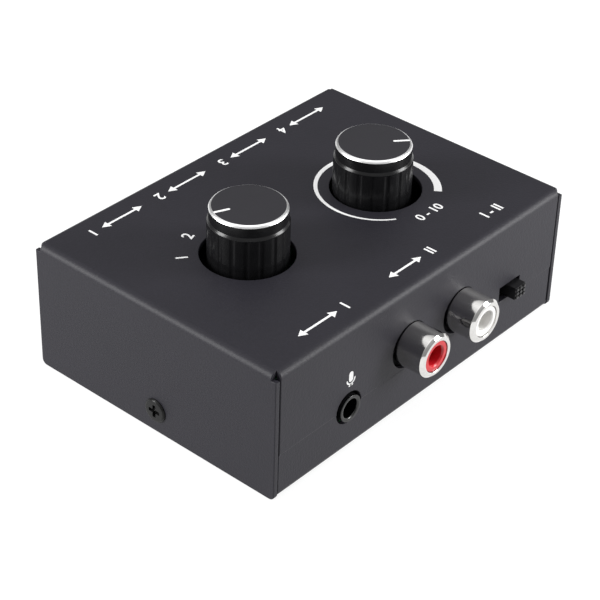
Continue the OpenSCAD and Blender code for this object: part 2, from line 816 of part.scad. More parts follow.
// Open ring of resistance film on the base
module volume_track() {
    outer = wiper_d / 2 - track_inset;
    gap = 360 - volume_turn;
    color(plastic_colour) translate([volume_x, volume_y, volume_base_top])
        rotate([0, 0, gap / 2 - 90])
            rotate_extrude(angle = volume_turn)
                translate([outer - track_w, 0]) square([track_w, track_t]);
}

module volume_housing() {
    color(plastic_colour)
        shaft_housing(
            volume_x, volume_y, volume_base_top, volume_w, volume_d,
            volume_roof, volume_top, volume_bore_d
        );
}

module volume_bushing() {
    bushing_plate(volume_x, volume_y, volume_top, volume_w, volume_d);
}

module volume_shaft() {
    shaft(volume_x, volume_y, volume_base_top + track_t + inner_gap, volume_roof);
}

// Disc on the volume shaft, with one contact point above the track
module volume_wiper() {
    reach = wiper_d / 2 - track_inset - track_w / 2;
    foot = volume_base_top + track_t + inner_gap / 2;
    color(brass_colour) translate([volume_x, volume_y, 0]) {
        translate([0, 0, wiper_z]) journal_disc(wiper_d, wiper_t);
        rotate([0, 0, volume_angle])
            translate([reach, 0, foot]) cylinder(d = point_d, h = wiper_z - foot + eps);
    }
}

// Places children on the axis of a phono socket, with z = 0 at the panel's inner face
module at_rca(i) {
    translate([rca_xs[i], -inner_d, rca_z]) facing_front() children();
}

module rca_shell(i) {
    outer = rca_d / 2;
    neck = rca_neck_d / 2;
    inner = insert_d / 2;
    tip = sheet_t + rca_out;
    shoulder = sheet_t + rca_shoulder;
    foot = -panel_gap - rca_seat;
    color(metal_colour) at_rca(i) rotate_extrude()
        polygon([
            [inner, foot], [neck, foot], [neck, shoulder], [outer, shoulder],
            [outer, tip - rca_chamfer], [outer - rca_chamfer, tip], [inner, tip]
        ]);
}

module rca_insert(i, colour) {
    outer = insert_d / 2 - fit;
    face = sheet_t + rca_out - insert_recess;
    foot = -panel_gap - insert_seat;
    bore = insert_bore_d / 2;
    color(colour) at_rca(i) rotate_extrude()
        polygon([
            [bore, foot], [outer, foot], [outer, face],
            [insert_mouth_d / 2, face], [bore, face - insert_mouth_l]
        ]);
}

module rca_contacts() {
    foot = -panel_gap - insert_seat;
    outer = insert_bore_d / 2 - fit;
    color(brass_colour) for (i = [0, 1]) at_rca(i) rotate_extrude()
        translate([outer - rca_contact_t, foot]) square([rca_contact_t, rca_contact_l]);
}

module rca_housing() {
    width = rca_pitch + rca_d + 2 * rca_wall;
    top = rca_z + rca_d / 2 + rca_wall;
    color(plastic_colour) difference() {
        translate([rca_x - width / 2, panel_gap - inner_d, board_top])
            cube([width, rca_housing_d, top - board_top]);
        for (i = [0, 1]) at_rca(i) {
            translate([0, 0, -panel_gap - rca_seat]) cylinder(d = rca_neck_d + 2 * fit, h = rca_seat + eps);
            translate([0, 0, -panel_gap - insert_seat]) cylinder(d = insert_d, h = insert_seat);
        }
    }
}

// Places children on the axis of a 3.5 mm socket, with z = 0 at the panel's inner face
module at_mic() {
    translate([mic_x, -inner_d, jack_z]) facing_front() children();
}

module at_rear(i) {
    translate([rear_x[i], inner_d, jack_z]) rotate([0, 0, 180]) facing_front() children();
}

// Body of a 3.5 mm socket; x is across, y is up from the axis and z points out of the panel
module jack_body() {
    slot_x = leaf_x + leaf_t / 2 + inner_gap;
    slot_h = jack_rise + jack_bore_d / 2;
    color(plastic_colour) difference() {
        union() {
            translate([-jack_w / 2, -jack_rise, -panel_gap - jack_l]) cube([jack_w, jack_h, jack_l]);
            translate([0, 0, -panel_gap - eps])
                cylinder(d = nose_d, h = panel_gap + nose_end - sleeve_flange_t + eps);
        }
        translate([0, 0, nose_end - sleeve_l])
            cylinder(d = jack_bore_d + 2 * sleeve_t + 2 * fit, h = sleeve_l + eps);
        translate([0, 0, -panel_gap - jack_l + jack_end_t])
            cylinder(d = jack_bore_d + 2 * rear_bore_gap, h = jack_l - jack_end_t);
        translate([-slot_x, -jack_rise - eps, -leaf_y - leaf_l / 2 - inner_gap])
            cube([2 * slot_x, slot_h, leaf_l + 2 * inner_gap]);
        translate([0, -jack_rise, -sleeve_pin_y])
            cube([pin_d + 2 * inner_gap, 2 * jack_rise, pin_d + 2 * inner_gap], center = true);
    }
}

// Metal sleeve in a socket's nose, with a flange on the nose's end and a terminal down through the board
module jack_sleeve() {
    outer = jack_bore_d / 2 + sleeve_t;
    color(metal_colour) difference() {
        union() {
            translate([0, 0, nose_end - sleeve_l]) cylinder(r = outer, h = sleeve_l);
            translate([0, 0, nose_end - sleeve_flange_t]) cylinder(d = nose_d, h = sleeve_flange_t);
            translate([0, -jack_rise - board_t - pin_tail, -sleeve_pin_y])
                rotate([-90, 0, 0]) cylinder(d = pin_d, h = jack_rise + board_t + pin_tail - jack_bore_d / 2);
        }
        translate([0, 0, nose_end - sleeve_l - eps]) cylinder(d = jack_bore_d, h = sleeve_l + 2 * eps);
    }
}

// Two contact springs beside the plug's path, each with its terminal
module jack_contacts() {
    color(brass_colour) for (side = [-1, 1]) translate([side * leaf_x, 0, -leaf_y]) {
        translate([-leaf_t / 2, -jack_rise, -leaf_l / 2]) cube([leaf_t, jack_rise + leaf_rise, leaf_l]);
        translate([0, -jack_rise - board_t - pin_tail, 0])
            rotate([-90, 0, 0]) cylinder(d = pin_d, h = board_t + pin_tail);
    }
}

// Places children at the switch, with y = 0 at the panel's inner face and z = 0 on its axis
module at_switch() {
    translate([switch_x, -inner_d, switch_z]) children();
}

module switch_frame() {
    window_w = stem_w + travel + 2 * inner_gap;
    window_h = stem_h + 2 * inner_gap;
    drop = switch_z - board_z + pin_tail;
    color(metal_colour) at_switch() difference() {
        union() {
            translate([-frame_w / 2, inner_gap, -frame_h / 2]) cube([frame_w, frame_d, frame_h]);
            for (side = [-1, 1])
                translate([side * (frame_w - frame_t) / 2, inner_gap + frame_d / 2, -drop / 2])
                    cube([frame_t, leg_w, drop], center = true);
        }
        translate([frame_t - frame_w / 2, inner_gap + frame_t, frame_t - frame_h / 2])
            cube([frame_w - 2 * frame_t, frame_d, frame_h - 2 * frame_t]);
        translate([-window_w / 2, 0, -window_h / 2]) cube([window_w, frame_d / 2, window_h]);
    }
}

module switch_base() {
    color(wafer_colour) at_switch()
        translate([
            frame_t + fit - frame_w / 2, inner_gap + frame_d - switch_base_t, frame_t + fit - frame_h / 2
        ])
            cube([frame_w - 2 * frame_t - 2 * fit, switch_base_t, frame_h - 2 * frame_t - 2 * fit]);
}

// Terminals that leave the back of the base and turn down through the board
module switch_terminals() {
    back = inner_gap + frame_d;
    drop = switch_z - board_z + pin_tail;
    color(metal_colour) at_switch() for (i = [-1:1]) translate([i * switch_pin_pitch, 0, 0]) {
        translate([0, switch_pin_y, 0]) rotate([90, 0, 0]) cylinder(d = pin_d, h = switch_pin_y - back);
        translate([0, switch_pin_y, -drop]) cylinder(d = pin_d, h = drop);
        translate([0, switch_pin_y, 0]) sphere(d = pin_d);
    }
}

// Slider at the right end of its travel; crossing grooves leave three by three studs on its stem
module switch_slider() {
    front = inner_gap + frame_t + inner_gap;
    reach = sheet_t + stem_out;
    block_h = frame_h - 2 * frame_t - 2 * inner_gap;
    stud_w = stem_w / 3;
    stud_h = stem_h / 3;
    color(plastic_colour) at_switch() translate([travel / 2, 0, 0]) difference() {
        union() {
            translate([-block_w / 2, front, -block_h / 2]) cube([block_w, block_d, block_h]);
            translate([-stem_w / 2, -reach, -stem_h / 2]) cube([stem_w, reach + front + eps, stem_h]);
        }
        for (i = [-1, 1]) {
            translate([i * stud_w / 2, -reach, 0])
                cube([stud_w / 3, 2 * stem_groove, 2 * stem_h], center = true);
            translate([0, -reach, i * stud_h / 2])
                cube([2 * stem_w, 2 * stem_groove, stud_h / 3], center = true);
        }
    }
}

// Spring contact on the back of the slider, just clear of the base
module switch_contact() {
    front = inner_gap + frame_t + inner_gap + block_d;
    back = inner_gap + frame_d - switch_base_t - inner_gap;
    color(brass_colour) at_switch() translate([travel / 2 - block_w / 4, front, -stem_h / 2])
        cube([block_w / 2, back - front, stem_h]);
}

top_cover();
cover_flap(-1);  // cover_flap_left
cover_flap(1);  // cover_flap_right
cover_flange(0);  // cover_flange_front
cover_flange(180);  // cover_flange_rear
base_tray();
tray_flange(0);  // tray_flange_front
tray_flange(180);  // tray_flange_rear
side_screws();
main_board();
board_standoffs();
board_screws();
selector_wafer();
selector_housing();
selector_bushing();
terminals(selector_pins);  // selector_terminals
selector_shaft();
selector_rotor();
selector_detent_wheel();
selector_detent_ball();
selector_detent_spring();
knob_shell(selector_x, selector_y, selector_angle);  // selector_knob
knob_core(selector_x, selector_y);  // selector_knob_core
volume_base();
volume_track();
volume_housing();
volume_bushing();
terminals(volume_pins);  // volume_terminals
volume_shaft();
volume_wiper();
knob_shell(volume_x, volume_y, volume_angle);  // volume_knob
knob_core(volume_x, volume_y);  // volume_knob_core
rca_housing();
rca_shell(0);  // rca_shell_red
rca_shell(1);  // rca_shell_white
rca_insert(0, [0.75, 0.1, 0.12]);  // rca_insert_red
rca_insert(1, [0.92, 0.92, 0.9]);  // rca_insert_white
rca_contacts();
terminals(rca_pins);  // rca_terminals
at_mic() jack_body();  // mic_jack_body
at_mic() jack_sleeve();  // mic_jack_sleeve
at_mic() jack_contacts();  // mic_jack_contacts
at_rear(0) jack_body();  // rear_jack_1_body
at_rear(1) jack_body();  // rear_jack_2_body
at_rear(2) jack_body();  // rear_jack_3_body
at_rear(3) jack_body();  // rear_jack_4_body
at_rear(0) jack_sleeve();  // rear_jack_1_sleeve
at_rear(1) jack_sleeve();  // rear_jack_2_sleeve
at_rear(2) jack_sleeve();  // rear_jack_3_sleeve
at_rear(3) jack_sleeve();  // rear_jack_4_sleeve
at_rear(0) jack_contacts();  // rear_jack_1_contacts
at_rear(1) jack_contacts();  // rear_jack_2_contacts
at_rear(2) jack_contacts();  // rear_jack_3_contacts
at_rear(3) jack_contacts();  // rear_jack_4_contacts
switch_frame();
switch_base();
switch_terminals();
switch_slider();
switch_contact();
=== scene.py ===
"""Looks of an audio source selector on its CAD frame: case, knobs, sockets, slider and printed marks."""

import json
from math import asin, atan2, copysign, cos, inf, pi, radians, sin, sqrt, tan

import bmesh
import bpy
from bpy.props import FloatProperty, FloatVectorProperty, IntProperty, PointerProperty
from mathutils import Matrix, Vector


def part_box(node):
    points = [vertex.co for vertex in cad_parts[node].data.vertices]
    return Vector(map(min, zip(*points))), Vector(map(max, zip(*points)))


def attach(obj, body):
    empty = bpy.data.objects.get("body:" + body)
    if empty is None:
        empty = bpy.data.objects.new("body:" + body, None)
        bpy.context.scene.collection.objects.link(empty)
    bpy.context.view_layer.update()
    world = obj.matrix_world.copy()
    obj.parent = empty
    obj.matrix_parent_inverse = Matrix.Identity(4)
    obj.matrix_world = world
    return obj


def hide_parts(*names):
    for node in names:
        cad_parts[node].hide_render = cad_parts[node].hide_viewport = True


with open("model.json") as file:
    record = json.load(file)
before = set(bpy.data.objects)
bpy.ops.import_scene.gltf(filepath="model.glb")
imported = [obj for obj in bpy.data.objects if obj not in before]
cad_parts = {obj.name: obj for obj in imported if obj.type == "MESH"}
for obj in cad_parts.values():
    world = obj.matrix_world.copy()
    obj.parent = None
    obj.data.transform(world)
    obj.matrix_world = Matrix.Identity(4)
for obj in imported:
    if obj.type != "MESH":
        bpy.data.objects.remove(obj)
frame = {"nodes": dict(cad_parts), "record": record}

bl_info = {
    "name": "Audio source selector",
    "version": (1, 0, 0),
    "blender": (4, 5, 0),
    "location": "3D View > Sidebar > Selector",
    "description": "Builds a source selector's case, knobs, sockets, slider and marks on its CAD frame",
    "category": "Object",
}

MM = 0.001
FULL_TURN = 2 * pi
QUARTER_TURN = pi / 2
FRONT, BACK = -1, 1
# Steps of a fold, a rounding, a round hole, a knob's skirt for each flute, and the volume arc
FOLD_STEPS, ROUND_STEPS, HOLE_STEPS, FLUTE_STEPS, ARC_STEPS = 8, 4, 96, 20, 120
# Studs in a row on the slider's stem
STUDS = 3
# Height of a figure as a share of its font's size
CAP_HEIGHT = 0.73
# Directions of the lamps from the object
LEFT_LAMP = Vector((-0.77, 0.51, 0.37))
RIGHT_LAMP = Vector((0.6, -0.73, 0.33))
RECORD_COLOURS = {m["slot"]: m["base_color"] for m in frame["record"]["materials"]}
NODE_SLOTS = {part["node"]: part["material_slot"] for part in frame["record"]["subparts"]}


def middle(node):
    """Middle of a CAD node's box."""
    low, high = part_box(node)
    return (low + high) / 2


COVER_LOW, COVER_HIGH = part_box("top_cover")
FLAP_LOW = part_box("cover_flap_left")[0]
TRAY_LOW, TRAY_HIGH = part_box("base_tray")
SCREW_AXIS = middle("side_screws")
SELECTOR_AXIS = middle("selector_knob")
VOLUME_AXIS = middle("volume_knob")
FRONT_JACK = middle("mic_jack_body")
REAR_JACKS = {i: middle(f"rear_jack_{i}_body") for i in (1, 2, 3, 4)}
PHONO_AXES = {name: middle("rca_shell_" + name) for name in ("red", "white")}
SLIDER = middle("switch_slider")


def length(name, description, value):
    """Property for a length, with its default given in millimetres."""
    return FloatProperty(name=name, description=description, default=value * MM, unit="LENGTH", precision=5)


def angle(name, description, value):
    """Property for an angle, with its default given in degrees."""
    return FloatProperty(name=name, description=description, default=radians(value), unit="ROTATION")


def share(name, description, value):
    """Property for a plain number."""
    return FloatProperty(name=name, description=description, default=value, min=0)


def shift(name, description, value):
    """Property for a pair of lengths, with its default given in millimetres."""
    default = [v * MM for v in value]
    return FloatVectorProperty(
        name=name, description=description, default=default, size=2, unit="LENGTH", precision=5)


def colour(name, description, value):
    """Property for a colour."""
    return FloatVectorProperty(
        name=name, description=description, default=value, size=3, subtype="COLOR", min=0, max=1)


class CaseLooks(bpy.types.PropertyGroup):
    """Sizes and colour of the folded sheet case"""

    coat: colour("Coat", "Colour of the powder coat", (0.0165, 0.0156, 0.0212))
    thickness: length("Thickness", "Thickness of the sheet", 1)
    fold: length("Fold", "Outer radius of the folds", 1.4)
    edges: shift("Edges", "Rounding of the cover's and the tray's edges", (0.17, 0.05))
    corner: shift("Corner", "Opening at the ends of the front and side folds", (1.25, 1.05))
    relief: length("Relief", "Radius of the relief at each top corner", 0.12)
    flap_round: length("Flap corner", "Radius of the side flaps' lower corners", 1.1)
    flange_gap: length("Flange gap", "Gap from a cover flange's end to the flap", 0.2)
    seam: length("Seam", "Gap between the cover's and the tray's flanges", 0.006)
    set_back: length("Set back", "Depth of the tray's flanges behind the cover's", 0.09)
    tray_cut: length("Tray cut", "Length cut from one end of a tray flange", 0.25)
    ear: shift("Ear", "Width and height of the tray's ears", (12, 7.5))
    ear_cut: length("Ear cut", "Width of the cut beside each ear", 1)
    knob_hole: length("Knob hole", "Diameter of the knobs' holes", 16.8)
    selector_shift: shift("Selector hole", "Selector's hole, from its shaft", (-0.3, -0.1))
    volume_shift: shift("Volume hole", "Volume control's hole, from its shaft", (0.6, -0.4))
    jack_hole: length("Jack hole", "Diameter of the 3.5 mm sockets' holes", 6.3)
    phono_hole: length("Phono hole", "Diameter of the phono sockets' holes", 8.9)
    phono_shift: shift("Phono holes", "Phono sockets' holes, from their axes", (-0.2, -0.25))
    screw_holes: shift("Screw holes", "Diameter of the screw holes in flaps and ears", (2.9, 2.61))
    slot: shift("Slot", "Width and upper edge of the slider's slot", (6, 12.15))
    travel: length("Travel", "Travel of the slider in its slot", 2.2)


class KnobLooks(bpy.types.PropertyGroup):
    """Sizes and colours of the knobs"""

    shell: colour("Shell", "Colour of the anodised shell", (0.006, 0.006, 0.0065))
    disc: colour("Disc", "Colour of the turned disc on top", (0.022, 0.0212, 0.0256))
    rim_metal: colour("Rim metal", "Colour of the bright cut rim", (0.92, 0.92, 0.93))
    pointer: colour("Pointer", "Colour of the pointer's filling", (0.88, 0.88, 0.88))
    rim: length("Rim", "Width of the cut rim", 0.45)
    facet: share("Facet", "Share of the rim's width in its lower facet", 0.4)
    collar: length("Collar", "Height of the smooth collar", 1.9)
    step: length("Step", "Step from the skirt in to the collar", 0.3)
    lip: shift("Lip", "Height of the lip and of its sloped shoulder", (0.6, 0.43))
    lip_round: length("Lip rounding", "Rounding of the shoulder's lower edge", 0.27)
    edge: length("Edge", "Rounding of the other edges", 0.06)
    walls: shift("Walls", "Thickness of the shell's wall and top", (1.4, 1.4))
    flutes: IntProperty(name="Flutes", description="Number of flutes round the skirt", default=18, min=3)
    flute: shift("Flute", "Radius and depth of a flute", (1, 0.15))
    pointer_size: shift("Pointer size", "Width and length of the pointer", (0.5, 3))
    pointer_film: length("Pointer film", "Thickness of the pointer's filling", 0.03)
    selector_angle: angle("Selector", "Selector's pointer, from +X", 156)
    volume_angle: angle("Volume", "Volume control's pointer, from +X", -41)


class SocketLooks(bpy.types.PropertyGroup):
    """Sizes and colours of the sockets, the slider and the side screws"""

    nickel: colour("Nickel", "Colour of the plated metal", (0.72, 0.71, 0.695))
    red: colour("Red", "Colour of the red insert", (0.55, 0.012, 0.02))
    white: colour("White", "Colour of the white insert", (0.8, 0.79, 0.77))
    chamfer: length("Chamfer", "Chamfer round the phono barrels' mouths", 0.5)
    edge: length("Edge", "Rounding of the small edges", 0.08)
    barrel: shift("Barrel", "Diameter of the phono barrels outside and inside the panel", (8.3, 7.8))
    shoulder_gap: length("Shoulder gap", "Gap from the panel to the barrels' shoulders", 0.05)
    bores: shift("Bores", "Diameter of the phono barrels' and the inserts' bores", (6, 3.7))
    insert_gap: length("Insert gap", "Gap between an insert and its barrel", 0.07)
    mouth: shift("Mouth", "Diameter and depth of the inserts' dished mouths", (4.2, 0.3))
    jack_bore: length("Jack bore", "Diameter of the 3.5 mm sockets' bores", 3.6)
    sleeve: shift("Sleeve", "Wall and length of the 3.5 mm sockets' sleeves", (0.35, 4))
    flange: shift("Flange", "Diameter and thickness of the sleeves' flanges", (5.1, 0.3))
    pin: shift("Pin", "Sleeve's terminal: diameter, and inset from the inner end", (0.8, 1.2))
    stem: shift("Stem", "Width and height of the slider's stem", (3, 2.5))
    stem_groove: length("Stem groove", "Depth of the grooves in the stem's end", 0.25)
    stem_edges: shift("Stem edges", "Rounding of the stem and of its studs", (0.03, 0.07))
    block_depth: length("Block", "Depth of the slider's block inside the case", 2)
    head: shift("Screw head", "Diameter and height of the side screws' heads", (4.6, 0.45))
    thread: shift("Thread", "Diameter and length of the side screws' threads", (2.5, 4))
    recess: shift("Recess", "Half length and half width of the cross recess", (1.25, 0.36))
    recess_depth: length("Recess depth", "Depth of the cross recess", 0.8)


class PrintLooks(bpy.types.PropertyGroup):
    """Sizes and colour of the printed marks"""

    ink: colour("Ink", "Colour of the printed marks", (0.82, 0.82, 0.82))
    film: length("Film", "Thickness of the ink", 0.012)
    height: length("Height", "Height of the figures", 2.2)
    weight: length("Weight", "Thickening of the figures' strokes", 0.05)
    label: length("Label", "Length of a socket's mark", 13)
    lines: shift("Lines", "Front marks and rear marks, from the middle", (-23.2, 23))
    front_labels: shift("Front marks", "Front socket's and phono sockets' marks, along the front", (-22, 1.2))
    switch_label: length("Switch mark", "Slide switch's mark, along the front", 23.7)
    dial: length("Dial", "Radius of the circle of dial figures", 11.4)
    dial_start: angle("Dial start", "First dial figure, from +X", 143)
    dial_step: angle("Dial step", "Turn from one dial figure to the next", 34.4)
    arc: length("Arc", "Radius of the volume arc", 11.1)
    arc_shift: shift("Arc place", "Volume arc's middle, from the volume shaft", (0.73, -0.55))
    arc_width: shift("Arc width", "Width of the volume arc's two ends", (0.3, 1.45))
    arc_start: angle("Arc start", "Arc's thin end, from +X", -122.3)
    arc_end: angle("Arc end", "Arc's thick end, from +X", -54)
    scale_shift: shift("Scale", "Volume figures, from the volume shaft", (0.7, -12.8))
    sign: shift("Sign", "Microphone sign on the front: across and up", (-20.1, 15))
    sign_height: length("Sign height", "Height of the microphone sign", 3)


class StageLooks(bpy.types.PropertyGroup):
    """Camera, lamps and surroundings"""

    azimuth: angle("Azimuth", "Camera's direction round the object", -49.594)
    elevation: angle("Elevation", "Camera's height angle", 34.965)
    roll: angle("Roll", "Camera's tilt about its own axis", 1.711)
    distance: length("Distance", "Camera's distance", 363.14)
    offset: shift("Offset", "Camera's sideways and upward offset", (-0.484, 5.98))
    lens: FloatProperty(name="Lens", description="Camera's focal length", default=118.17, unit="CAMERA")
    floor: colour("Floor", "Colour of the floor", (0.25, 0.25, 0.25))
    glow: share("Floor glow", "White of the floor, to the eye and in reflections", 0.8)
    room_back: share("Back of the room", "Light from the side that the camera faces", 0.25)
    room_front: share("Front of the room", "Light from the side behind the camera", 0.35)
    ceiling: share("Ceiling", "Light from straight above", 1.55)
    lamp: share("Lamps", "Brightness of the two soft lamps", 17.5)
    left_size: shift("Left lamp", "Width and height of the left lamp", (150, 260))
    left_distance: length("Left distance", "Distance of the left lamp", 450)
    right_size: shift("Right lamp", "Width and height of the right lamp", (110, 190))
    right_distance: length("Right distance", "Distance of the right lamp", 320)


class SelectorLooks(bpy.types.PropertyGroup):
    """All settings of the source selector"""

    case: PointerProperty(type=CaseLooks)
    knobs: PointerProperty(type=KnobLooks)
    sockets: PointerProperty(type=SocketLooks)
    marks: PointerProperty(type=PrintLooks)
    stage: PointerProperty(type=StageLooks)


# Shading

class Value:
    """An output socket that Python's operators turn into Math nodes."""

    def __init__(self, graph, output):
        self.graph = graph
        self.output = output

    def __add__(self, other):
        return self.graph.math("ADD", self, other)

    __radd__ = __add__

    def __mul__(self, other):
        return self.graph.math("MULTIPLY", self, other)


class Graph:
    """A node tree that is written as expressions."""

    def __init__(self, tree):
        self.tree = tree
        tree.nodes.clear()

    def node(self, kind, settings=None, inputs=None, output=0):
        """Adds a node, with its settings first and then the values or links of its sockets."""
        node = self.tree.nodes.new(kind)
        for key, value in (settings or {}).items():
            setattr(node, key, value)
        for key, value in (inputs or {}).items():
            if isinstance(value, Value):
                self.tree.links.new(value.output, node.inputs[key])
            else:
                node.inputs[key].default_value = value
        return Value(self, node.outputs[output]) if node.outputs else None

    def math(self, operation, *values):
        return self.node("ShaderNodeMath", {"operation": operation}, dict(enumerate(values)))

    def vector(self, operation, *values, output=0):
        return self.node("ShaderNodeVectorMath", {"operation": operation}, dict(enumerate(values)), output)

    def place(self, centre=(0, 0, 0), stretch=(1, 1, 1)):
        """Object coordinates from a centre, stretched along the axes."""
        spot = self.node("ShaderNodeTexCoord", output=3)
        return self.vector("MULTIPLY", self.vector("SUBTRACT", spot, tuple(centre)), tuple(stretch))

    def noise(self, place, size, detail=3.0):
        """Noise from 0 to 1 with patches of about the given size."""
        return self.node("ShaderNodeTexNoise", inputs={"Vector": place, "Scale": 1 / size, "Detail": detail})

    def between(self, factor, low, high):
        """Colour between two colours."""
        colours = {0: factor, 6: (*low, 1), 7: (*high, 1)}
        return self.node("ShaderNodeMix", {"data_type": "RGBA"}, colours, output=2)

    def varied(self, factor, shade, low, high):
        """Colour between a darker and a lighter form of a shade."""
        return self.between(factor, tint(shade, low), tint(shade, high))

    def bump(self, height, depth, strength=1.0):
        return self.node("ShaderNodeBump", inputs={"Height": height, "Distance": depth, "Strength": strength})


def tint(shade, factor):
    """Lighter or darker form of a colour."""
    return tuple(min(1.0, c * factor) for c in shade)


def finish(name, build):
    """Material of that name; build(graph) gives its Principled shader's inputs at its first use."""
    material = bpy.data.materials.get("finish_" + name)
    if material is None:
        material = bpy.data.materials.new("finish_" + name)
        material.use_nodes = True
        graph = Graph(material.node_tree)
        shader = graph.node("ShaderNodeBsdfPrincipled", inputs=build(graph))
        graph.node("ShaderNodeOutputMaterial", inputs={"Surface": shader})
    return material


def powder_coat(looks):
    """Satin charcoal coat with a fine grain."""
    def build(graph):
        place = graph.place()
        grain = graph.noise(place, 0.42 * MM)
        cloud = graph.noise(place, 9 * MM, 2.0)
        return {
            "Base Color": graph.varied(grain * 0.7 + cloud * 0.3, looks.coat, 0.72, 1.28),
            "Roughness": 0.46 + grain * 0.08,
            "Specular IOR Level": 0.27,
            "Normal": graph.bump(grain, 0.08 * MM, 0.5),
        }
    return finish("powder_coat", build)


def turned(name, shade, centre, metallic, specular):
    """Turned face with fine rings round an axis."""
    def build(graph):
        radius = graph.vector("LENGTH", graph.place(centre, (1, 1, 0)), output=1)
        along = graph.node("ShaderNodeCombineXYZ", inputs={"X": radius})
        rings = graph.noise(along, 0.16 * MM)
        smear = graph.noise(graph.place(centre), 2.2 * MM, 2.0)
        return {
            "Base Color": graph.varied(rings * 0.6 + smear * 0.4, shade, 0.86, 1.12),
            "Metallic": metallic,
            "Roughness": 0.3 + rings * 0.1,
            "Specular IOR Level": specular,
            "Normal": graph.bump(rings, 0.004 * MM),
        }
    return finish(name, build)


def grained(
        name, shade, size, tones, roughness, spread,
        specular=0.5, metallic=0.0, depth=0.0, stretch=(1, 1, 1)):
    """Finish with a grain of the given size in its tone, in its roughness and, to a depth, in its surface."""
    def build(graph):
        grain = graph.noise(graph.place(stretch=stretch), size)
        inputs = {
            "Base Color": graph.varied(grain, shade, *tones),
            "Metallic": metallic,
            "Roughness": roughness + grain * spread,
            "Specular IOR Level": specular,
        }
        if depth > 0:
            inputs["Normal"] = graph.bump(grain, depth, 0.5)
        return inputs
    return finish(name, build)


def plated(name, shade, roughness, stretch=(1, 1, 1)):
    """Plated metal with faint drawn streaks."""
    return grained(name, shade, 0.5 * MM, (0.88, 1.08), roughness, 0.1, metallic=1.0, stretch=stretch)


def moulded(name, shade, roughness, size, specular=0.5):
    """Moulded plastic with a fine grain of the given size."""
    return grained(name, shade, size, (0.88, 1.12), roughness, 0.12, specular, depth=0.01 * MM)


def slot_finish(slot):
    """Finish of a CAD node that stays in view, by its slot in the record."""
    shade = RECORD_COLOURS[slot]
    if slot in ("nickel", "black_nickel", "steel", "brass"):
        return plated(slot, shade, 0.22)
    if slot in ("red_plastic", "white_plastic"):
        return moulded(slot, shade, 0.18, 1.2 * MM)
    if slot in ("board_green", "phenolic"):
        return moulded(slot, shade, 0.4, 0.6 * MM)
    return moulded(slot, tint(shade, 0.25), 0.5, 0.3 * MM, 0.06)


# Modelling

def linked(name, data):
    """New object in the scene."""
    holder = bpy.data.objects.new(name, data)
    bpy.context.scene.collection.objects.link(holder)
    return holder


def baked(name, bm):
    """Mesh from a bmesh, which is freed."""
    mesh = bpy.data.meshes.new(name)
    bm.to_mesh(mesh)
    bm.free()
    return mesh


def taken(mesh, bm):
    """Adds a mesh to a bmesh, removes the mesh and gives the bmesh."""
    bm.from_mesh(mesh)
    bpy.data.meshes.remove(mesh)
    return bm


def shown(holder):
    """Bmesh of an object as its settings and modifiers show it."""
    seen = holder.evaluated_get(bpy.context.evaluated_depsgraph_get())
    return taken(bpy.data.meshes.new_from_object(seen), bmesh.new())


def add_piece(name, bm, body, finishes, nodes=(), sharp=radians(40)):
    """Makes an object from a bmesh, which rides on a body and stands for the CAD nodes that are named."""
    mesh = baked(name, bm)
    mesh.shade_smooth()
    mesh.set_sharp_from_angle(angle=sharp)
    for material in finishes:
        mesh.materials.append(material)
    piece = linked(name, mesh)
    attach(piece, body)
    if nodes:
        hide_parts(*nodes)
    flats = piece.modifiers.new("flat faces", "WEIGHTED_NORMAL")
    flats.keep_sharp = True


def merged(meshes):
    """One bmesh from several."""
    whole = bmesh.new()
    for part in meshes:
        taken(baked("part", part), whole)
    return whole


def cut_out(body, cutter):
    """Bmesh of a body without the cutter's shape."""
    holders = [linked("solid", baked("solid", bm)) for bm in (body, cutter)]
    cut = holders[0].modifiers.new("recess", "BOOLEAN")
    cut.operation = "DIFFERENCE"
    cut.solver = "EXACT"
    cut.use_self = True
    cut.object = holders[1]
    result = shown(holders[0])
    for holder in holders:
        mesh = holder.data
        bpy.data.objects.remove(holder)
        bpy.data.meshes.remove(mesh)
    return result


def curve_mesh(curve, place):
    """Mesh of a text or a flat curve that is drawn in millimetres, at its place in the frame."""
    holder = linked("drawing", curve)
    bm = shown(holder)
    bpy.data.objects.remove(holder)
    bpy.data.curves.remove(curve)
    bmesh.ops.remove_doubles(bm, verts=bm.verts, dist=0.0005)
    bm.transform(place @ Matrix.Scale(MM, 4))
    bmesh.ops.recalc_face_normals(bm, faces=bm.faces)
    return bm


def flat_shape(outlines, thickness, edge=0.0, place=Matrix()):
    """Plate with the given outlines, the first of which may hold holes; its cut edges are rounded.

    It is drawn in millimetres, because the fill merges points closer than a few hundredths of a unit.
    """
    curve = bpy.data.curves.new("outline", "CURVE")
    curve.dimensions = "2D"
    curve.fill_mode = "BOTH"
    curve.extrude = (thickness / 2 - edge) / MM
    curve.bevel_depth = edge / MM
    curve.bevel_resolution = 2
    curve.offset = -edge / MM
    for points in outlines:
        spline = curve.splines.new("POLY")
        spline.points.add(len(points) - 1)
        spline.use_cyclic_u = True
        for point, (u, v) in zip(spline.points, points):
            point.co = (u / MM, v / MM, 0, 1)
    return curve_mesh(curve, place)


def arc_points(centre, radius, start, end, steps):
    """Points on an arc from one angle to another."""
    turns = [start + (end - start) * i / steps for i in range(steps + 1)]
    return [(centre[0] + radius * cos(t), centre[1] + radius * sin(t)) for t in turns]


def circle_points(centre, diameter):
    return arc_points(centre, diameter / 2, 0, FULL_TURN, HOLE_STEPS)[:-1]


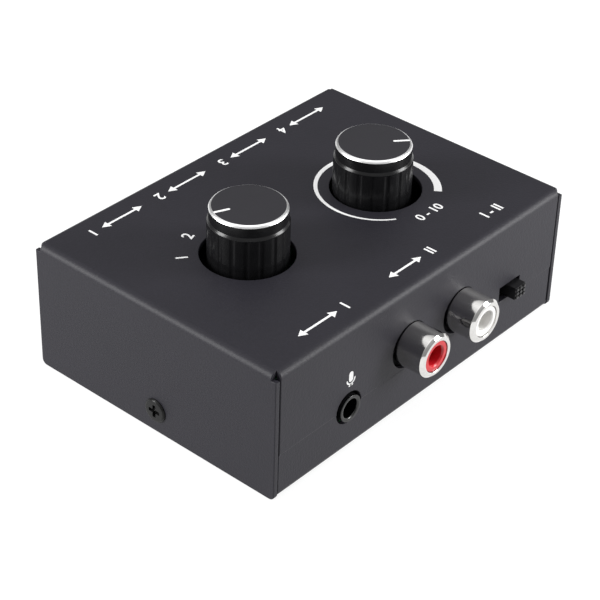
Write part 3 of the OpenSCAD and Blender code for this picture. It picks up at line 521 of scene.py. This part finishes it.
def soft_profile(corners):
    """Profile for a lathe from corners of (radius, height, rounding)."""
    points = []
    for i, (r, z, rounding) in enumerate(corners):
        corner = Vector((r, z))
        before = Vector(corners[i - 1][:2]) - corner
        after = Vector(corners[(i + 1) % len(corners)][:2]) - corner
        if rounding <= 0:
            points.append(corner)
            continue
        half = before.angle(after) / 2
        back = rounding / tan(half)
        before.normalize()
        after.normalize()
        centre = corner + (before + after).normalized() * rounding / sin(half)
        first = corner + before * back - centre
        last = corner + after * back - centre
        turn = first.angle_signed(last)
        for k in range(ROUND_STEPS + 1):
            spoke = first.copy()
            spoke.rotate(Matrix.Rotation(-turn * k / ROUND_STEPS, 2))
            points.append(centre + spoke)
    return points


def lathe(corners, steps, place=Matrix()):
    """Closed ring or body that is spun from corners of (radius, height, rounding) round Z, at its place."""
    bm = bmesh.new()
    verts = [bm.verts.new((p.x, 0, p.y)) for p in soft_profile(corners)]
    edges = [bm.edges.new((a, b)) for a, b in zip(verts, verts[1:] + verts[:1]) if max(a.co.x, b.co.x) > 0]
    bmesh.ops.spin(
        bm, geom=verts + edges, cent=(0, 0, 0), axis=(0, 0, 1), angle=FULL_TURN, steps=steps, use_merge=True)
    bmesh.ops.remove_doubles(bm, verts=bm.verts, dist=0.00002 * MM)
    bmesh.ops.recalc_face_normals(bm, faces=bm.faces)
    bm.transform(place)
    return bm


def rounded_box(low, high, edge, segments=2):
    """Block between two corners with rounded edges."""
    low, high = Vector(low), Vector(high)
    bm = bmesh.new()
    place = Matrix.Translation((low + high) / 2) @ Matrix.Diagonal((*(high - low), 1))
    bmesh.ops.create_cube(bm, size=1, matrix=place)
    bmesh.ops.bevel(
        bm, geom=bm.edges, offset=edge, affect="EDGES", segments=segments, profile=0.5, material=-1)
    return bm


def facing(side, x, y, z):
    """Place of a lathe or a drawing that points out of the front or the back."""
    return Matrix.Translation((x, y, z)) @ Matrix.Rotation(-side * QUARTER_TURN, 4, "X")


# Sheet work

class FlatSheet:
    """Flat pattern of a folded sheet, drawn on its outer face: a plate with a wing on each side."""

    def __init__(self, looks, edge, reach_x, reach_y, plate_z, direction, fold_limit=inf):
        self.radius = looks.fold
        self.thickness = looks.thickness
        self.edge = edge
        self.bend = self.radius * QUARTER_TURN
        self.inner = (reach_x - self.radius, reach_y - self.radius)
        self.plate_z = plate_z
        self.direction = direction
        self.fold_limit = fold_limit

    def out_at(self, z):
        """Distance from a fold's start, along the outer face, to a height on the wing."""
        return self.bend + abs(self.plate_z - z) - self.radius

    def wing(self, turn, path):
        """Points of a wing's path of (along, out) on the side that is turn quarter turns from +X."""
        points = []
        for along, out in path:
            u, v = self.inner[turn % 2] + out, along
            for _ in range(turn):
                u, v = -v, u
            points.append((u, v))
        return points

    def screw_holes(self, diameter):
        """Outlines of the two side screws' holes."""
        out = self.out_at(SCREW_AXIS.z)
        spots = self.wing(0, [(SCREW_AXIS.y, out)]) + self.wing(2, [(-SCREW_AXIS.y, out)])
        return [circle_points(spot, diameter) for spot in spots]

    def jack_notches(self, diameter, level):
        """Outlines of the 3.5 mm sockets' notches in the edges of the front wing and the rear wing."""
        out = self.out_at(FRONT_JACK.z)
        rear = []
        for jack in reversed(REAR_JACKS.values()):
            rear += round_notch(-jack.x, out, diameter, level)
        return round_notch(FRONT_JACK.x, out, diameter, level), rear

    def build(self, side, rear, front, holes):
        """Cuts the sheet out by its wings' paths and its holes, divides it along its folds and folds it."""
        outline = self.wing(0, side) + self.wing(1, rear) + self.wing(2, side) + self.wing(3, front)
        bm = flat_shape([outline] + holes, self.thickness, self.edge)
        for inner, way in zip(self.inner, (Vector((1, 0, 0)), Vector((0, 1, 0)))):
            for i in range(FOLD_STEPS + 1):
                for side in (-1, 1):
                    line = way * side * (inner + self.bend * i / FOLD_STEPS)
                    geom = bm.verts[:] + bm.edges[:] + bm.faces[:]
                    bmesh.ops.bisect_plane(bm, geom=geom, dist=0.001 * MM, plane_co=line, plane_no=way)
        for vert in bm.verts:
            vert.co = self.folded(vert.co)
        bmesh.ops.recalc_face_normals(bm, faces=bm.faces)
        return bm

    def folded(self, flat):
        """Place of a point of the flat pattern on the folded sheet."""
        spot = [flat.x, flat.y]
        depth = self.thickness / 2 - flat.z
        excess = [abs(flat.x) - self.inner[0], abs(flat.y) - self.inner[1]]
        if abs(flat.y) > self.fold_limit:
            excess[0] = 0.0
        axis = 0 if excess[0] > excess[1] else 1
        out = excess[axis]
        drop = depth
        if out > 0:
            turn = min(out / self.radius, QUARTER_TURN)
            reach = self.inner[axis] + (self.radius - depth) * sin(turn)
            drop = self.radius - (self.radius - depth) * cos(turn) + max(0.0, out - self.bend)
            spot[axis] = copysign(reach, spot[axis])
        return Vector((*spot, self.plate_z - self.direction * drop))


def round_notch(centre, out, diameter, level):
    """Outline of a round notch in a wing's edge, which lies at the distance level."""
    start = asin((out - level) / (diameter / 2))
    return [(u, 2 * out - v) for u, v in arc_points((centre, out), diameter / 2, pi - start, start, 32)]


def cover_sheet(looks):
    """Folded cover: top, two side flaps and the upper front and rear flanges."""
    half_w, half_d, top = COVER_HIGH
    sheet = FlatSheet(looks, looks.edges[0], half_w, half_d, top, 1)
    flap_end = sheet.out_at(FLAP_LOW.z)
    flange_end = sheet.out_at(FRONT_JACK.z + looks.seam / 2)
    corner_x, corner_y = looks.corner
    side_fold = half_d - corner_y
    front_fold = half_w - corner_x
    flange = half_w - looks.thickness - looks.flange_gap

    def relief(fold_end, corner):
        spots = arc_points((looks.fold - corner, fold_end), looks.relief, 0, -3 * QUARTER_TURN, 12)
        return [(along, out) for out, along in spots]

    r = looks.flap_round
    flap = [(-side_fold, sheet.bend), (-half_d, sheet.bend)]
    flap += arc_points((r - half_d, flap_end - r), r, pi, QUARTER_TURN, 8)
    flap += arc_points((half_d - r, flap_end - r), r, QUARTER_TURN, 0, 8)
    flap += [(half_d, sheet.bend), (side_fold, sheet.bend)]
    flap += relief(side_fold, corner_x)
    front, rear = sheet.jack_notches(looks.jack_hole, flange_end)
    slot, slot_top = looks.slot
    left = SLIDER.x - (looks.travel + slot) / 2
    right = left + slot
    slot_end = sheet.out_at(slot_top)
    front += [(left, flange_end), (left, slot_end), (right, slot_end), (right, flange_end)]

    def flange_path(notches):
        path = [(-front_fold, sheet.bend), (-flange, sheet.bend), (-flange, flange_end)]
        path += notches + [(front_fold, flange_end)]
        return path + relief(front_fold, corner_y)

    holes = [
        circle_points(SELECTOR_AXIS.xy + Vector(looks.selector_shift), looks.knob_hole),
        circle_points(VOLUME_AXIS.xy + Vector(looks.volume_shift), looks.knob_hole),
    ]
    holes += sheet.screw_holes(looks.screw_holes[0])
    across, up = looks.phono_shift
    for axis in PHONO_AXES.values():
        spot = sheet.wing(3, [(axis.x + across, sheet.out_at(axis.z + up))])[0]
        holes.append(circle_points(spot, looks.phono_hole))
    return sheet.build(flap, flange_path(rear), flange_path(front), holes)


def tray_sheet(looks):
    """Folded tray: bottom, the lower front and rear flanges and two ears for the side screws."""
    half_w, half_d = TRAY_HIGH.xy
    ear = looks.ear[0] / 2
    gap = ear + looks.ear_cut
    fold_limit = ear + looks.ear_cut / 2
    sheet = FlatSheet(looks, looks.edges[1], half_w, half_d - looks.set_back, TRAY_LOW.z, -1, fold_limit)
    short = half_w - looks.tray_cut
    flange_end = sheet.out_at(FRONT_JACK.z - looks.seam / 2)
    ear_end = sheet.out_at(looks.ear[1])
    side = [(-gap, looks.fold), (-gap, 0), (-ear, 0), (-ear, ear_end)]
    side += [(-along, out) for along, out in reversed(side)]

    def flange_path(notches):
        end = [(short, flange_end), (short, sheet.bend), (half_w, sheet.bend)]
        return [(-half_w, flange_end)] + notches + end

    front, rear = sheet.jack_notches(looks.jack_hole, flange_end)
    holes = sheet.screw_holes(looks.screw_holes[1])
    return sheet.build(side, flange_path(rear), flange_path(front), holes)


class SOURCE_SELECTOR_OT_sheet_case(bpy.types.Operator):
    """Folds the cover and the tray from flat sheets"""

    bl_idname = "source_selector.sheet_case"
    bl_label = "Sheet case"

    def execute(self, context):
        looks = context.scene.source_selector.case
        coat = powder_coat(looks)
        cover_nodes = ["top_cover", "cover_flap_left", "cover_flap_right"]
        cover_nodes += ["cover_flange_front", "cover_flange_rear"]
        tray_nodes = ["base_tray", "tray_flange_front", "tray_flange_rear"]
        add_piece("cover_sheet", cover_sheet(looks), "case", [coat], cover_nodes)
        add_piece("tray_sheet", tray_sheet(looks), "case", [coat], tray_nodes)
        return {"FINISHED"}


# Side screws

def screw_mesh(looks):
    """Low-headed screw with a cross recess; the head's underside is at z = 0."""
    r, h, t, foot = looks.head[0] / 2, looks.head[1], looks.thread[0] / 2, -looks.thread[1]
    rim_z, top_r, tip_r, tip_z = h * 0.4, r - h * 0.5, t * 0.8, foot * 0.9
    screw = lathe([
        (0, foot, 0), (tip_r, foot, 0), (t, tip_z, 0), (t, 0, 0), (r, 0, 0), (r, rim_z, 0.1 * MM),
        (top_r, h, 0.25 * MM), (0, h, 0),
    ], 64)
    arm, width = looks.recess
    cutters = []
    for x, y in ((arm, width), (width, arm)):
        low, high = (-x, -y, h - looks.recess_depth), (x, y, h + looks.recess_depth)
        cutters.append(rounded_box(low, high, width * 0.3, 1))
    return cut_out(screw, merged(cutters))


class SOURCE_SELECTOR_OT_side_screws(bpy.types.Operator):
    """Builds the two side screws with low heads and cross recesses"""

    bl_idname = "source_selector.side_screws"
    bl_label = "Side screws"

    def execute(self, context):
        looks = context.scene.source_selector.sockets
        black = moulded("black_screw", tint(RECORD_COLOURS["black_screw"], 0.35), 0.2, 0.3 * MM, 0.18)
        screws = []
        for side in (-1, 1):
            screw = screw_mesh(looks)
            place = Matrix.Translation((side * COVER_HIGH.x, SCREW_AXIS.y, SCREW_AXIS.z))
            screw.transform(place @ Matrix.Rotation(side * QUARTER_TURN, 4, "Y"))
            screws.append(screw)
        add_piece("cross_screws", merged(screws), "case", [black], ["side_screws"])
        return {"FINISHED"}


# Knobs

def flute_radius_at(looks, turn, knob_r):
    """Radius of the fluted skirt in a direction."""
    pitch = FULL_TURN / looks.flutes
    off = (turn + pitch / 2) % pitch - pitch / 2
    radius, depth = looks.flute
    axis = knob_r + radius - depth
    room = radius ** 2 - (axis * sin(off)) ** 2
    if room <= 0:
        return knob_r
    return min(knob_r, axis * cos(off) - sqrt(room))


def knob_mesh(looks, node):
    """Knob shell with a cut rim of two facets, a collar and a fluted skirt; rim and top are marked."""
    low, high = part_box(node)
    knob_r = (high.x - low.x) / 2
    height = high.z - low.z
    collar_r = knob_r - looks.step
    bore = knob_r - looks.walls[0]
    roof = height - looks.walls[1]
    disc_r = collar_r - looks.rim
    rim_z = height - looks.rim
    skirt_z = rim_z - looks.collar
    flute_z = skirt_z - looks.lip[0]
    facet = looks.facet * looks.rim
    e = looks.edge
    corners = [
        (bore, 0, e), (knob_r, 0, 3 * e), (knob_r, flute_z - 2 * e, 0), (knob_r, flute_z, 0),
        (knob_r, skirt_z - looks.lip[1], looks.lip_round), (collar_r, skirt_z, 0), (collar_r, rim_z, e),
        (collar_r - facet, height - facet, e / 2), (disc_r, height, e), (0, height, 0), (0, roof, 0),
        (bore, roof, 0),
    ]
    bm = lathe(corners, FLUTE_STEPS * looks.flutes)
    for vert in bm.verts:
        r = vert.co.xy.length
        if vert.co.z < flute_z - e and r > bore:
            limit = flute_radius_at(looks, atan2(vert.co.y, vert.co.x), knob_r)
            if r > limit:
                vert.co.xy *= limit / r
    for face in bm.faces:
        spot = face.calc_center_median()
        if spot.z > height - 0.01 * MM and spot.xy.length < disc_r - e / 2:
            face.material_index = 2
        elif spot.z > rim_z - e / 4:
            face.material_index = 1
    bm.transform(Matrix.Translation(((low.x + high.x) / 2, (low.y + high.y) / 2, low.z)))
    return bm


class SOURCE_SELECTOR_OT_knobs(bpy.types.Operator):
    """Turns the selector knob and the volume knob, each with its pointer"""

    bl_idname = "source_selector.knobs"
    bl_label = "Knobs"

    def execute(self, context):
        looks = context.scene.source_selector.knobs
        anodised = grained("black_anodised", looks.shell, 1.6 * MM, (0.8, 1.3), 0.2, 0.08, 0.32)
        for body, axis, direction in (
            ("selector", SELECTOR_AXIS, looks.selector_angle),
            ("volume", VOLUME_AXIS, looks.volume_angle),
        ):
            node = body + "_knob"
            low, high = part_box(node)
            finishes = [
                anodised,
                turned(body + "_rim", looks.rim_metal, axis, 1.0, 0.5),
                turned(body + "_disc", looks.disc, axis, 0.0, 0.3),
            ]
            shell = knob_mesh(looks, node)
            add_piece(body + "_knob_shell", shell, body, finishes, [node], radians(30))
            width, reach = looks.pointer_size
            half = width / 2
            end = (high.x - low.x) / 2 - looks.step - looks.rim
            line = arc_points((end - reach + half, 0), half, QUARTER_TURN, 3 * QUARTER_TURN, 8)
            line += [(end, -half), (end, half)]
            place = Matrix.Translation((axis.x, axis.y, high.z)) @ Matrix.Rotation(direction, 4, "Z")
            white = moulded("pointer_fill", looks.pointer, 0.4, 0.3 * MM)
            pointer = flat_shape([line], looks.pointer_film, place=place)
            add_piece(body + "_pointer", pointer, body, [white])
        return {"FINISHED"}


# Sockets

class SOURCE_SELECTOR_OT_phono_sockets(bpy.types.Operator):
    """Turns the phono barrels and their coloured inserts"""

    bl_idname = "source_selector.phono_sockets"
    bl_label = "Phono sockets"

    def execute(self, context):
        looks = context.scene.source_selector.sockets
        e = looks.edge
        for name, axis in PHONO_AXES.items():
            place = facing(FRONT, axis.x, 0, axis.z)
            shell_low, shell_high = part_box("rca_shell_" + name)
            tip, foot = -shell_low.y, -shell_high.y
            shoulder = -COVER_LOW.y + looks.shoulder_gap
            outer, neck, inner = looks.barrel[0] / 2, looks.barrel[1] / 2, looks.bores[0] / 2
            barrel = lathe([
                (inner, foot, 0), (neck, foot, e), (neck, shoulder, 0), (outer, shoulder, e),
                (outer, tip - looks.chamfer, 2 * e), (outer - looks.chamfer, tip, 2 * e), (inner, tip, e),
            ], 128, place)
            nickel = plated("nickel_barrel", looks.nickel, 0.04, (1, 0.15, 1))
            add_piece("phono_barrel_" + name, barrel, "case", [nickel], ["rca_shell_" + name])
            insert_low, insert_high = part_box("rca_insert_" + name)
            face, foot = -insert_low.y, -insert_high.y
            bore, edge = looks.bores[1] / 2, inner - looks.insert_gap
            mouth, dish = looks.mouth
            insert = lathe([
                (bore, foot, 0), (edge, foot, 0), (edge, face, e),
                (mouth / 2, face, 1.5 * e), (bore, face - dish, 2 * e),
            ], 96, place)
            slot, node = name + "_plastic", "rca_insert_" + name
            plastic = moulded(name + "_insert", getattr(looks, name), 0.16, 1.5 * MM)
            add_piece("phono_insert_" + name, insert, "case", [plastic], [node])
        return {"FINISHED"}


class SOURCE_SELECTOR_OT_jack_sleeves(bpy.types.Operator):
    """Turns the flanged metal sleeves in the noses of the 3.5 mm sockets"""

    bl_idname = "source_selector.jack_sleeves"
    bl_label = "Jack sleeves"

    def execute(self, context):
        looks = context.scene.source_selector.sockets
        dark = plated("black_nickel_sleeve", tint(RECORD_COLOURS["black_nickel"], 0.5), 0.2)
        wall, depth = looks.sleeve
        inner = looks.jack_bore / 2
        outer = inner + wall
        flange_r, flange = looks.flange[0] / 2, looks.flange[1]
        pin_r, inset = looks.pin[0] / 2, looks.pin[1]
        sockets = [("mic_jack", FRONT_JACK, FRONT)]
        sockets += [(f"rear_jack_{i}", jack, BACK) for i, jack in REAR_JACKS.items()]
        for name, axis, side in sockets:
            low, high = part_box(name + "_sleeve")
            end = max(abs(low.y), abs(high.y))
            ring = lathe([
                (inner, -depth, 0), (outer, -depth, 0), (outer, -flange, 0),
                (flange_r, -flange, 0), (flange_r, 0, looks.edge), (inner, 0, 4 * looks.edge),
            ], 64, facing(side, axis.x, side * end, axis.z))
            top = axis.z - inner - low.z
            place = Matrix.Translation((axis.x, side * (end - depth + inset), low.z))
            pin = lathe([(0, 0, 0), (pin_r, 0, looks.edge), (pin_r, top, 0), (0, top, 0)], 24, place)
            add_piece(name + "_ring", merged([ring, pin]), "case", [dark], [name + "_sleeve"])
        return {"FINISHED"}


class SOURCE_SELECTOR_OT_slide_switch(bpy.types.Operator):
    """Builds the slider with its block and its studded stem"""

    bl_idname = "source_selector.slide_switch"
    bl_label = "Slide switch"

    def execute(self, context):
        looks = context.scene.source_selector.sockets
        low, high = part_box("switch_slider")
        width, height = looks.stem
        back = high.y - looks.block_depth
        stud_base = low.y + looks.stem_groove
        block = rounded_box((low.x, back, low.z), high, looks.edge)
        stem_low = Vector((SLIDER.x - width / 2, stud_base, SLIDER.z - height / 2))
        stem_high = (SLIDER.x + width / 2, back + looks.edge, SLIDER.z + height / 2)
        parts = [block, rounded_box(stem_low, stem_high, looks.stem_edges[0])]
        pitch = Vector((width, 0, height)) / STUDS
        inset = pitch / 6
        for column in range(STUDS):
            for row in range(STUDS):
                near = Vector((stem_low.x + column * pitch.x, low.y, stem_low.z + row * pitch.z))
                far = near + pitch + Vector((0, 2 * looks.stem_groove, 0))
                parts.append(rounded_box(near + inset, far - inset, looks.stem_edges[1]))
        black = moulded("slider", tint(RECORD_COLOURS["black_plastic"], 0.4), 0.25, 0.3 * MM, 0.35)
        add_piece("slider_stem", merged(parts), "slider", [black], ["switch_slider"])
        return {"FINISHED"}


# Printed marks

def lettering(looks, text, place, height):
    """Figures of the given height, centred on their place."""
    curve = bpy.data.curves.new("figures", "FONT")
    curve.body = text
    curve.size = height / MM / CAP_HEIGHT
    curve.align_x = "CENTER"
    curve.align_y = "CENTER"
    curve.extrude = looks.film / 2 / MM
    curve.offset = looks.weight / MM
    return curve_mesh(curve, place)


def two_way_arrow(width, height, film, place):
    """Line with an arrow head at each end."""
    half, head, shaft = width / 2, height * 0.4, height * 0.1
    neck = half - 1.8 * head
    right = [(neck, -shaft), (neck, -head), (half, 0), (neck, head), (neck, shaft)]
    return flat_shape([right + [(-u, -v) for u, v in right]], film, place=place)


def microphone_sign(height, film, place):
    """Plain sign of a microphone: a capsule in a cradle on a stand."""
    r, line, foot = height * 0.18, height * 0.06, -height / 2
    cup = (0, -height * 0.02)
    capsule = arc_points((0, height / 2 - r), r, 0, pi, 12)
    capsule += arc_points(cup, r, pi, FULL_TURN, 12)
    cradle = arc_points(cup, r + 3.4 * line, pi, FULL_TURN, 16)
    cradle += arc_points(cup, r + 1.6 * line, FULL_TURN, pi, 16)
    stem_top, stand_top = foot + height * 0.16, foot + 1.6 * line
    stem = [(-line, foot), (line, foot), (line, stem_top), (-line, stem_top)]
    stand = [(-r, foot), (r, foot), (r, stand_top), (-r, stand_top)]
    return [flat_shape([part], film, place=place) for part in (capsule, cradle, stem, stand)]


class SOURCE_SELECTOR_OT_printed_marks(bpy.types.Operator):
    """Prints the marks of the sockets, the dial, the volume control and the switch"""

    bl_idname = "source_selector.printed_marks"
    bl_label = "Printed marks"

    def execute(self, context):
        looks = context.scene.source_selector.marks
        ink = grained("ink", looks.ink, 0.3 * MM, (0.92, 1.05), 0.5, 0.15, 0.3)
        top = COVER_HIGH.z + looks.film / 2
        front_line, rear_line = looks.lines

        def on_top(x, y, turn=0.0):
            return Matrix.Translation((x, y, top)) @ Matrix.Rotation(turn, 4, "Z")

        def socket_mark(text, place):
            figure = looks.height * (0.55 + 0.45 * len(text))
            arrow = looks.label - figure - looks.height * 0.5
            arrow_place = place @ Matrix.Translation((-(looks.label - arrow) / 2, 0, 0))
            text_place = place @ Matrix.Translation(((looks.label - figure) / 2, 0, 0))
            return [
                two_way_arrow(arrow, looks.height, looks.film, arrow_place),
                lettering(looks, text, text_place, looks.height),
            ]

        rear = []
        for i, jack in REAR_JACKS.items():
            rear += socket_mark(str(i), on_top(jack.x, rear_line, pi))
        front = []
        for text, x in zip(("I", "II"), looks.front_labels):
            front += socket_mark(text, on_top(x, front_line))
        sign_place = facing(FRONT, looks.sign[0], COVER_LOW.y - looks.film / 2, looks.sign[1])
        sign = microphone_sign(looks.sign_height, looks.film, sign_place)
        switch = [lettering(looks, "I - II", on_top(looks.switch_label, front_line), looks.height)]
        dial = []
        for i in REAR_JACKS:
            turn = looks.dial_start - (i - 1) * looks.dial_step
            spot = SELECTOR_AXIS.xy + looks.dial * Vector((cos(turn), sin(turn)))
            place = on_top(spot.x, spot.y, turn - QUARTER_TURN)
            dial.append(lettering(looks, str(i), place, looks.height))
        centre = VOLUME_AXIS.xy + Vector(looks.arc_shift)
        sweep = looks.arc_end - looks.arc_start - FULL_TURN
        thin, thick = looks.arc_width
        outer, inner = [], []
        for i in range(ARC_STEPS + 1):
            part = i / ARC_STEPS
            half = (thin + (thick - thin) * part) / 2
            turn = looks.arc_start + sweep * part
            way = Vector((cos(turn), sin(turn)))
            outer.append(way * (looks.arc + half))
            inner.append(way * (looks.arc - half))
        volume = [flat_shape([outer + inner[::-1]], looks.film, place=on_top(*centre))]
        spot = VOLUME_AXIS.xy + Vector(looks.scale_shift)
        volume.append(lettering(looks, "0 - 10", on_top(*spot), looks.height * 0.9))
        for name, parts in (
            ("rear_marks", rear), ("front_marks", front), ("microphone_sign", sign), ("switch_mark", switch),
            ("dial_marks", dial), ("volume_marks", volume),
        ):
            add_piece(name, merged(parts), "case", [ink])
        return {"FINISHED"}


class SOURCE_SELECTOR_OT_inner_parts(bpy.types.Operator):
    """Gives the CAD nodes that stay in view the finishes of their slots"""

    bl_idname = "source_selector.inner_parts"
    bl_label = "Inner parts"

    def execute(self, context):
        for name, node in frame["nodes"].items():
            node.data.materials.clear()
            node.data.materials.append(slot_finish(NODE_SLOTS[name]))
        return {"FINISHED"}


# Stage

def soft_lamp(name, direction, brightness, size, distance):
    """Flat lamp that looks at the object from a direction."""
    light = bpy.data.lights.new(name, "AREA")
    light.shape = "RECTANGLE"
    light.size, light.size_y = size
    light.energy = brightness * pi * size[0] * size[1]
    lamp = linked(name, light)
    lamp.location = direction.normalized() * distance
    lamp.rotation_euler = direction.to_track_quat("Z", "Y").to_euler()


class SOURCE_SELECTOR_OT_stage(bpy.types.Operator):
    """Sets the pale floor, the soft light and the camera"""

    bl_idname = "source_selector.stage"
    bl_label = "Stage"

    def execute(self, context):
        looks = context.scene.source_selector.stage
        scene = context.scene
        scene.view_settings.view_transform = "Standard"
        self.add_floor(looks)
        self.light_surroundings(scene, looks)
        soft_lamp("lamp_left", LEFT_LAMP, looks.lamp, looks.left_size, looks.left_distance)
        soft_lamp("lamp_right", RIGHT_LAMP, looks.lamp, looks.right_size, looks.right_distance)
        self.add_camera(scene, looks)
        return {"FINISHED"}

    def add_floor(self, looks):
        bm = bmesh.new()
        bmesh.ops.create_grid(bm, x_segments=8, y_segments=8, size=3.0)
        bmesh.ops.translate(bm, verts=bm.verts, vec=(0, 0, -0.02 * MM))

        def pale(graph):
            seen = graph.node("ShaderNodeLightPath", output="Is Camera Ray")
            for ray in ("Is Glossy Ray", "Is Transmission Ray"):
                seen = graph.math("MAXIMUM", seen, graph.node("ShaderNodeLightPath", output=ray))
            return {
                "Base Color": (*looks.floor, 1), "Roughness": 0.9, "Specular IOR Level": 0.0,
                "Emission Color": graph.between(seen, (0, 0, 0), (1, 1, 1)), "Emission Strength": looks.glow,
            }

        floor = linked("floor", baked("floor", bm))
        floor.data.materials.append(finish("floor", pale))

    def light_surroundings(self, scene, looks):
        world = bpy.data.worlds.new("surroundings")
        world.use_nodes = True
        graph = Graph(world.node_tree)
        way = graph.node("ShaderNodeTexCoord")
        front = (sin(looks.azimuth), -cos(looks.azimuth), 0)
        near = 0.5 + graph.vector("DOT_PRODUCT", way, front, output=1) * 0.5
        up = graph.vector("DOT_PRODUCT", way, (0, 0, 1), output=1)
        above = graph.math("POWER", graph.math("MAXIMUM", up, 0), 4)
        room = looks.room_back + near * near * (looks.room_front - looks.room_back)
        strength = room + above * looks.ceiling
        shade = graph.node("ShaderNodeBackground", inputs={"Color": (1, 1, 1, 1), "Strength": strength})
        graph.node("ShaderNodeOutputWorld", inputs={"Surface": shade})
        scene.world = world

    def add_camera(self, scene, looks):
        lens = bpy.data.cameras.new("camera")
        lens.lens = looks.lens
        lens.sensor_width = 36
        turn = Matrix.Rotation(looks.azimuth, 4, "Z")
        tilt = Matrix.Rotation(QUARTER_TURN - looks.elevation, 4, "X")
        roll = Matrix.Rotation(looks.roll, 4, "Z")
        scene.camera = linked("camera", lens)
        scene.camera.matrix_world = turn @ tilt @ roll @ Matrix.Translation((*looks.offset, looks.distance))


class SOURCE_SELECTOR_PT_pieces(bpy.types.Panel):
    """Lists the pieces of the source selector and their settings"""

    bl_idname = "SOURCE_SELECTOR_PT_pieces"
    bl_label = "Source selector"
    bl_space_type = "VIEW_3D"
    bl_region_type = "UI"
    bl_category = "Selector"

    def draw(self, context):
        looks = context.scene.source_selector
        for operator in OPERATORS:
            self.layout.operator(operator.bl_idname)
        for group in ("case", "knobs", "sockets", "marks", "stage"):
            box = self.layout.box()
            box.label(text=group.capitalize())
            settings = getattr(looks, group)
            for key in settings.__annotations__:
                box.prop(settings, key)


OPERATORS = (
    SOURCE_SELECTOR_OT_sheet_case, SOURCE_SELECTOR_OT_side_screws, SOURCE_SELECTOR_OT_knobs,
    SOURCE_SELECTOR_OT_phono_sockets, SOURCE_SELECTOR_OT_jack_sleeves, SOURCE_SELECTOR_OT_slide_switch,
    SOURCE_SELECTOR_OT_printed_marks, SOURCE_SELECTOR_OT_inner_parts, SOURCE_SELECTOR_OT_stage,
)
CLASSES = (
    CaseLooks, KnobLooks, SocketLooks, PrintLooks, StageLooks, SelectorLooks,
    *OPERATORS, SOURCE_SELECTOR_PT_pieces,
)


def register():
    for kind in CLASSES:
        bpy.utils.register_class(kind)
    bpy.types.Scene.source_selector = PointerProperty(type=SelectorLooks)


def unregister():
    del bpy.types.Scene.source_selector
    for kind in reversed(CLASSES):
        bpy.utils.unregister_class(kind)


def main():
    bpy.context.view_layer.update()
    register()
    pieces = bpy.ops.source_selector
    pieces.sheet_case()
    pieces.side_screws()
    pieces.knobs()
    pieces.phono_sockets()
    pieces.jack_sleeves()
    pieces.slide_switch()
    pieces.printed_marks()
    pieces.inner_parts()
    pieces.stage()


if __name__ == "__main__":
    main()
